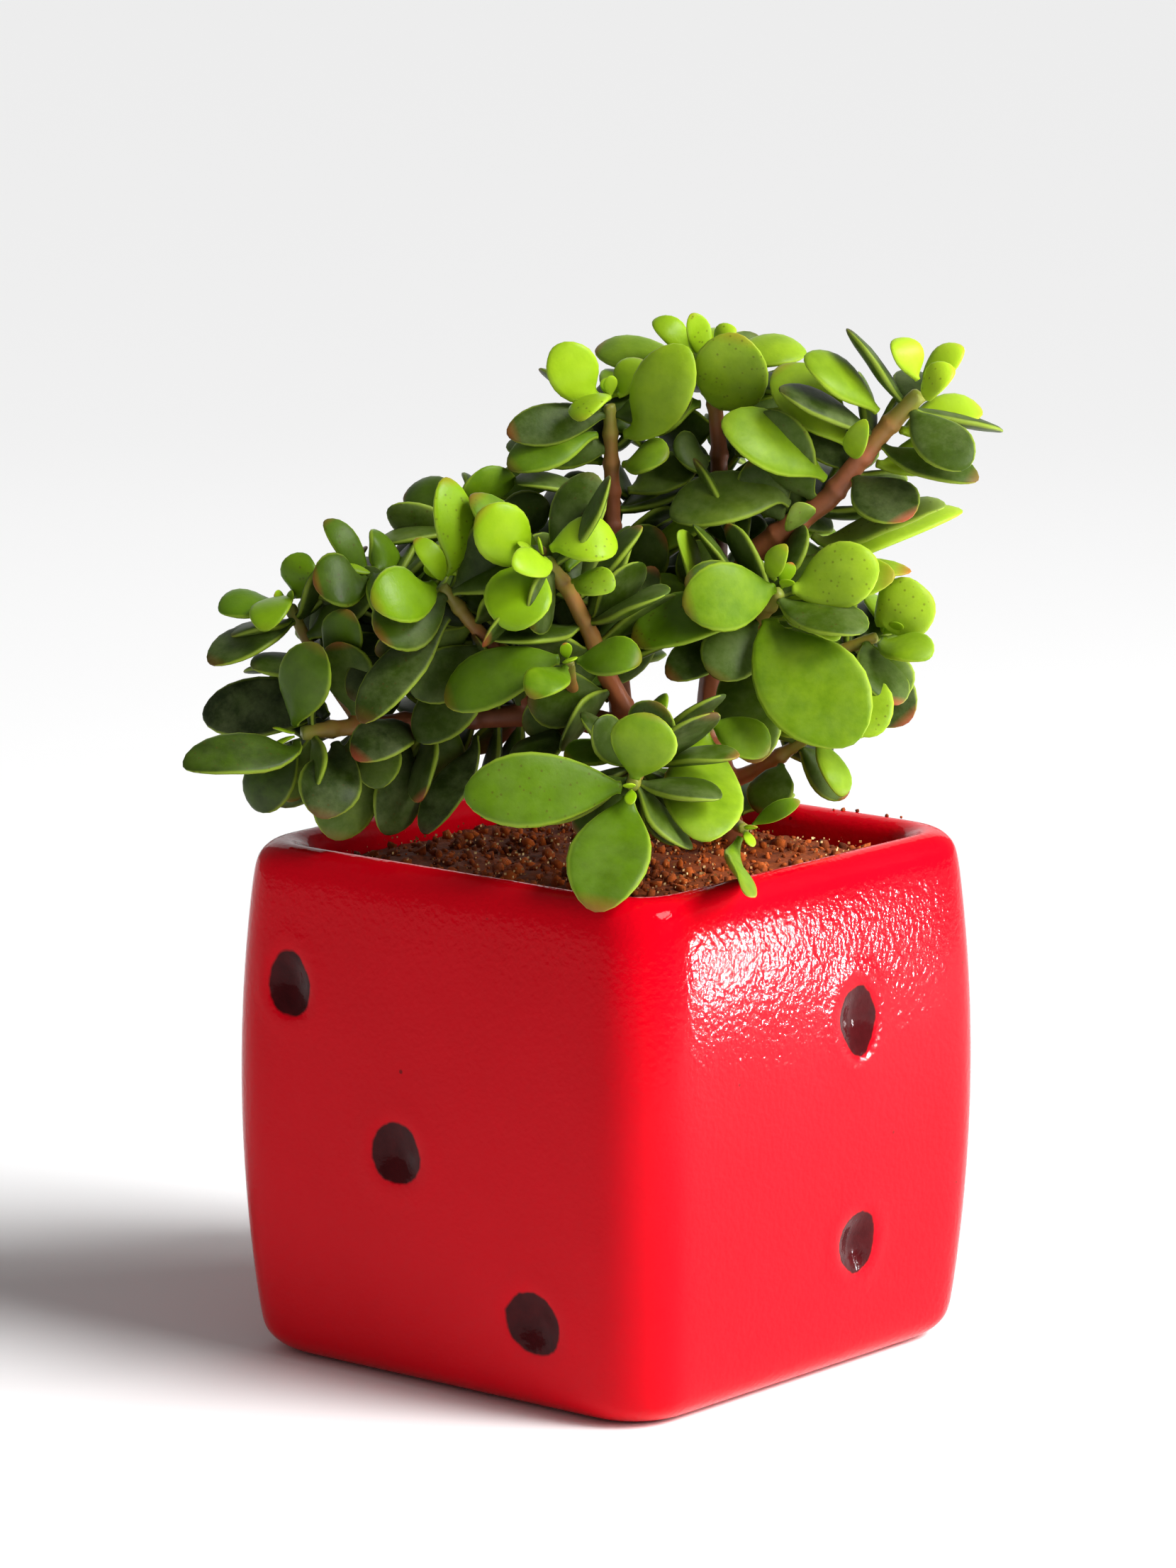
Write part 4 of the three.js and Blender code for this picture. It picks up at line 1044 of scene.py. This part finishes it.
def grow_inner(branch, line, rng, taken):
    leaves = []
    for low, high in zip(line, line[1:]):
        gap = np.linalg.norm(high - low)
        axis = unit(high - low)
        pairs = int(gap // INNER_PAIR_GAP)
        for k in range(1, pairs + 1):
            for _ in range(LEAVES_PER_RING):
                leaf = freest_leaf(low + (high - low) * k / (pairs + 1), axis, rng, taken)
                if leaf:
                    leaves.append(leaf)
                    taken = np.concatenate([taken, leaf_samples(leaf)])
    if leaves:
        # the darker old skin: painted shade in the middle of the plant
        grow("inner_leaves_" + branch, leaves, "old_leaf", rng)
    return taken


for branch, line in branch_lines().items():
    taken = grow_inner(branch, line, rng, taken)

# %% [markdown]
# ## Buds
# At the end of every shoot a pair of new leaves the size of a grain of rice stands up between the
# last grown ones.

# %% Set the buds
def set_buds(rng):
    leaves = []
    for node, (own, middle, axis) in NODES.items():
        if not node.endswith("_tip"):
            continue
        outward = np.mean([leaf["spine"][5] for leaf in own], axis=0) - middle
        axis = axis if axis @ outward > 0 else -axis
        roll = unit(np.cross(axis, rng.normal(size=3)))
        for turn in (1, -1):
            out = roll * turn
            length = rng.uniform(3.2, 4.8) * MM
            leaf = new_leaf(middle + out * 0.3 * MM, axis, unit(axis + 0.35 * out), length,
                            rng.uniform(2, 2.8) * MM, rng, rng.uniform(0.55, 0.85))
            ahead = unit(leaf["spine"][5] - leaf["spine"][0])
            leaf["facing"] = np.tile(unit(-out + ahead * (out @ ahead)), (6, 1))
            leaves.append(leaf)
    grow("buds", leaves, "young_leaf", rng)


set_buds(rng)

# %% [markdown]
# ## Young bark
# The shoots are green and red at their ends and turn brown with age. Each pair of leaves leaves a ring
# on the stem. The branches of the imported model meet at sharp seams, so a copy is remeshed as one skin,
# relaxed, and swollen into a ring at each node.

# %% Young bark
def young_bark():
    material, shader = new_finish("young_jade_bark", Roughness=0.5)
    place = add(material, "TexCoord").outputs["Object"]
    age = add(material, "Attribute", attribute_name="age").outputs["Fac"]
    # Green shoots turn red-brown and then grey-brown, in blotches.
    blotch = add(material, "TexNoise", {"Scale": per_metre(5), "Detail": 5, "Roughness": 0.65},
                 {"Vector": place})
    uneven = add(material, "MapRange", {"To Min": -0.2, "To Max": 0.2}, {"Value": blotch.outputs[0]})
    older = add(material, "Math", links={0: age, 1: uneven.outputs[0]})
    low = add(material, "MapRange", {"From Max": 0.45}, {"Value": older.outputs[0]})
    high = add(material, "MapRange", {"From Min": 0.45, "From Max": 1}, {"Value": older.outputs[0]})
    shoot = add(material, "Mix", {MIX_A: linear("#7d8a2a"), MIX_B: linear("#a8603a")},
                {MIX_FACTOR: low.outputs[0]}, data_type="RGBA")
    colour = add(material, "Mix", {MIX_B: linear("#4b2a1f")},
                 {MIX_FACTOR: high.outputs[0], MIX_A: shoot.outputs[MIX_RESULT]}, data_type="RGBA")
    feed(material, shader, "Base Color", colour.outputs[MIX_RESULT])
    rough = add(material, "Bump", {"Strength": 0.7, "Distance": 0.2 * MM}, {"Height": blotch.outputs[0]})
    feed(material, shader, "Normal", rough.outputs[0])
    return material


bark = young_bark()
print(bark.name, len(bark.node_tree.nodes), "nodes")

# %% Skin the stem
STEM_VOXEL = 0.5 * MM
RELAX_ROUNDS = 5
RELAX_MAKES_UP = 0.1                 # relaxing thins the stem by about this much
RING_SWELL = 0.3
RING_REACH = 0.8
MOST_SWELL = 0.5
NEAR_NODE = 4.5
YOUNG_LENGTH = 16 * MM


def skin_stem():
    mesh = frame["nodes"]["stem"].data.copy()
    stem = bpy.data.objects.new("jade_stem", mesh)
    mesh.name = "jade_stem"
    mesh.materials.clear()
    scene.collection.objects.link(stem)
    take(stem)
    bpy.ops.object.mode_set(mode="EDIT")
    bpy.ops.mesh.select_all(action="SELECT")
    bpy.ops.mesh.remove_doubles(threshold=TOUCHING)
    bpy.ops.object.mode_set(mode="OBJECT")
    apply_modifier(stem, "REMESH", mode="VOXEL", voxel_size=STEM_VOXEL)
    apply_modifier(stem, "SMOOTH", factor=0.5, iterations=RELAX_ROUNDS)
    places = points_of(stem.data)
    normals = np.empty(len(places) * 3)
    stem.data.vertices.foreach_get("normal", normals)
    normals = normals.reshape(-1, 3)
    swell = np.full(len(places), RELAX_MAKES_UP)
    tips = [middle for node, (_, middle, _) in NODES.items() if node.endswith("_tip")]
    for _, middle, axis in NODES.values():
        away = places - middle
        up = away @ axis / MM
        out = np.linalg.norm(away, axis=1) / MM
        swell += np.where(out < NEAR_NODE, RING_SWELL * np.exp(-(up / RING_REACH) ** 2), 0)
    put_points(stem.data, places + normals * (np.minimum(swell, MOST_SWELL) * MM)[:, None])
    nearest = np.min([np.linalg.norm(places - tip, axis=1) for tip in tips], axis=0)
    set_attribute(stem.data, "age", np.clip(nearest / YOUNG_LENGTH, 0, 2) / 2)
    stem.data.shade_smooth()
    stem.data.materials.append(bark)
    return stem


stem = skin_stem()
finish_piece(stem, "bark", "stem")

# %% [markdown]
# ## Floor and light
# The pot stands on plain white card. The key light comes from far off, so it is even over the card;
# it stands to the right and above, and leaves the left side of the pot to the light that the card
# throws back. Two soft lights lift the right side. A small window, placed where the glaze mirrors it
# to the viewer, makes the sharp highlight, and a broad light behind gives the lip its sheen.

# %% Floor
def white_card():
    material, shader = new_finish("matt_white_card", Roughness=0.9)
    shader.inputs["Base Color"].default_value = linear("#fbfbfb")
    return material


start_clean()
bpy.ops.mesh.primitive_plane_add(size=14, location=(0, 0, 0))
floor = bpy.context.object
floor.name = "floor"
floor.data.materials.append(white_card())
print("floor", [round(side, 2) for side in floor.dimensions], "m")

# %% Lights
def soft_light(name, place, target, size, power, height=None, mirrored=False):
    light = bpy.data.lights.new(name, "AREA")
    light.shape = "RECTANGLE"
    light.size = size
    light.size_y = height or size
    light.energy = power
    lamp = bpy.data.objects.new(name, light)
    scene.collection.objects.link(lamp)
    lamp.location = place
    lamp.rotation_euler = (Vector(target) - lamp.location).to_track_quat("-Z", "Y").to_euler()
    lamp.visible_camera = False
    lamp.visible_glossy = mirrored
    return lamp


def even_light(name, direction, power, spread):
    """Light from far away, which falls on all of the floor alike."""
    light = bpy.data.lights.new(name, "SUN")
    light.energy = power
    light.angle = math.radians(spread)
    lamp = bpy.data.objects.new(name, light)
    scene.collection.objects.link(lamp)
    lamp.rotation_euler = direction.to_track_quat("Z", "Y").to_euler()


def mirror_place(spot, normal, distance):
    """Where a light stands for the viewer to see it mirrored at that spot of a surface."""
    to_camera = (camera.location - spot).normalized()
    normal = normal.normalized()
    return spot + (2 * to_camera.dot(normal) * normal - to_camera) * distance


even_light("key", right * 0.75 + to_viewer * 0.35 + Vector((0, 0, 0.75)), 3.1, 24)
soft_light("side", Vector((0.55, 0.05, 0.3)), (0, 0, 0.1), 0.3, 2.6)
soft_light("low", Vector((0.38, 0.36, 0.32)), (0.16, 0.16, 0), 0.3, 2)
window_spot = Vector((pot_high.x - 0.001, -0.036, 0.073))
side_normal = Vector((1, 0, 0.085))
window = mirror_place(window_spot, side_normal, 0.6)
soft_light("window", window, window_spot, 0.03, 1.2, 0.05, mirrored=True)
behind = Vector((-0.62, 0.75, 0.6)) * 0.9
soft_light("rim_sheen", behind, (0, 0, 0.09), 0.9, 2.0, 0.8, mirrored=True).visible_diffuse = False
world = bpy.data.worlds.new("studio")
scene.world = world
world.use_nodes = True
AMBIENT = 0.21                       # how much the walls of the studio light the plant
BACKDROP = 1.0                       # how bright they look themselves
sky = world.node_tree.nodes["Background"]
sky.inputs["Color"].default_value = (1, 1, 1, 1)
ray = world.node_tree.nodes.new("ShaderNodeLightPath")
brightness = world.node_tree.nodes.new("ShaderNodeMapRange")
brightness.inputs["To Min"].default_value = AMBIENT
brightness.inputs["To Max"].default_value = BACKDROP
world.node_tree.links.new(ray.outputs["Is Camera Ray"], brightness.inputs["Value"])
world.node_tree.links.new(brightness.outputs[0], sky.inputs["Strength"])
scene.view_settings.view_transform = "Standard"
print("window", [round(v, 2) for v in window], "behind", [round(v, 2) for v in behind])
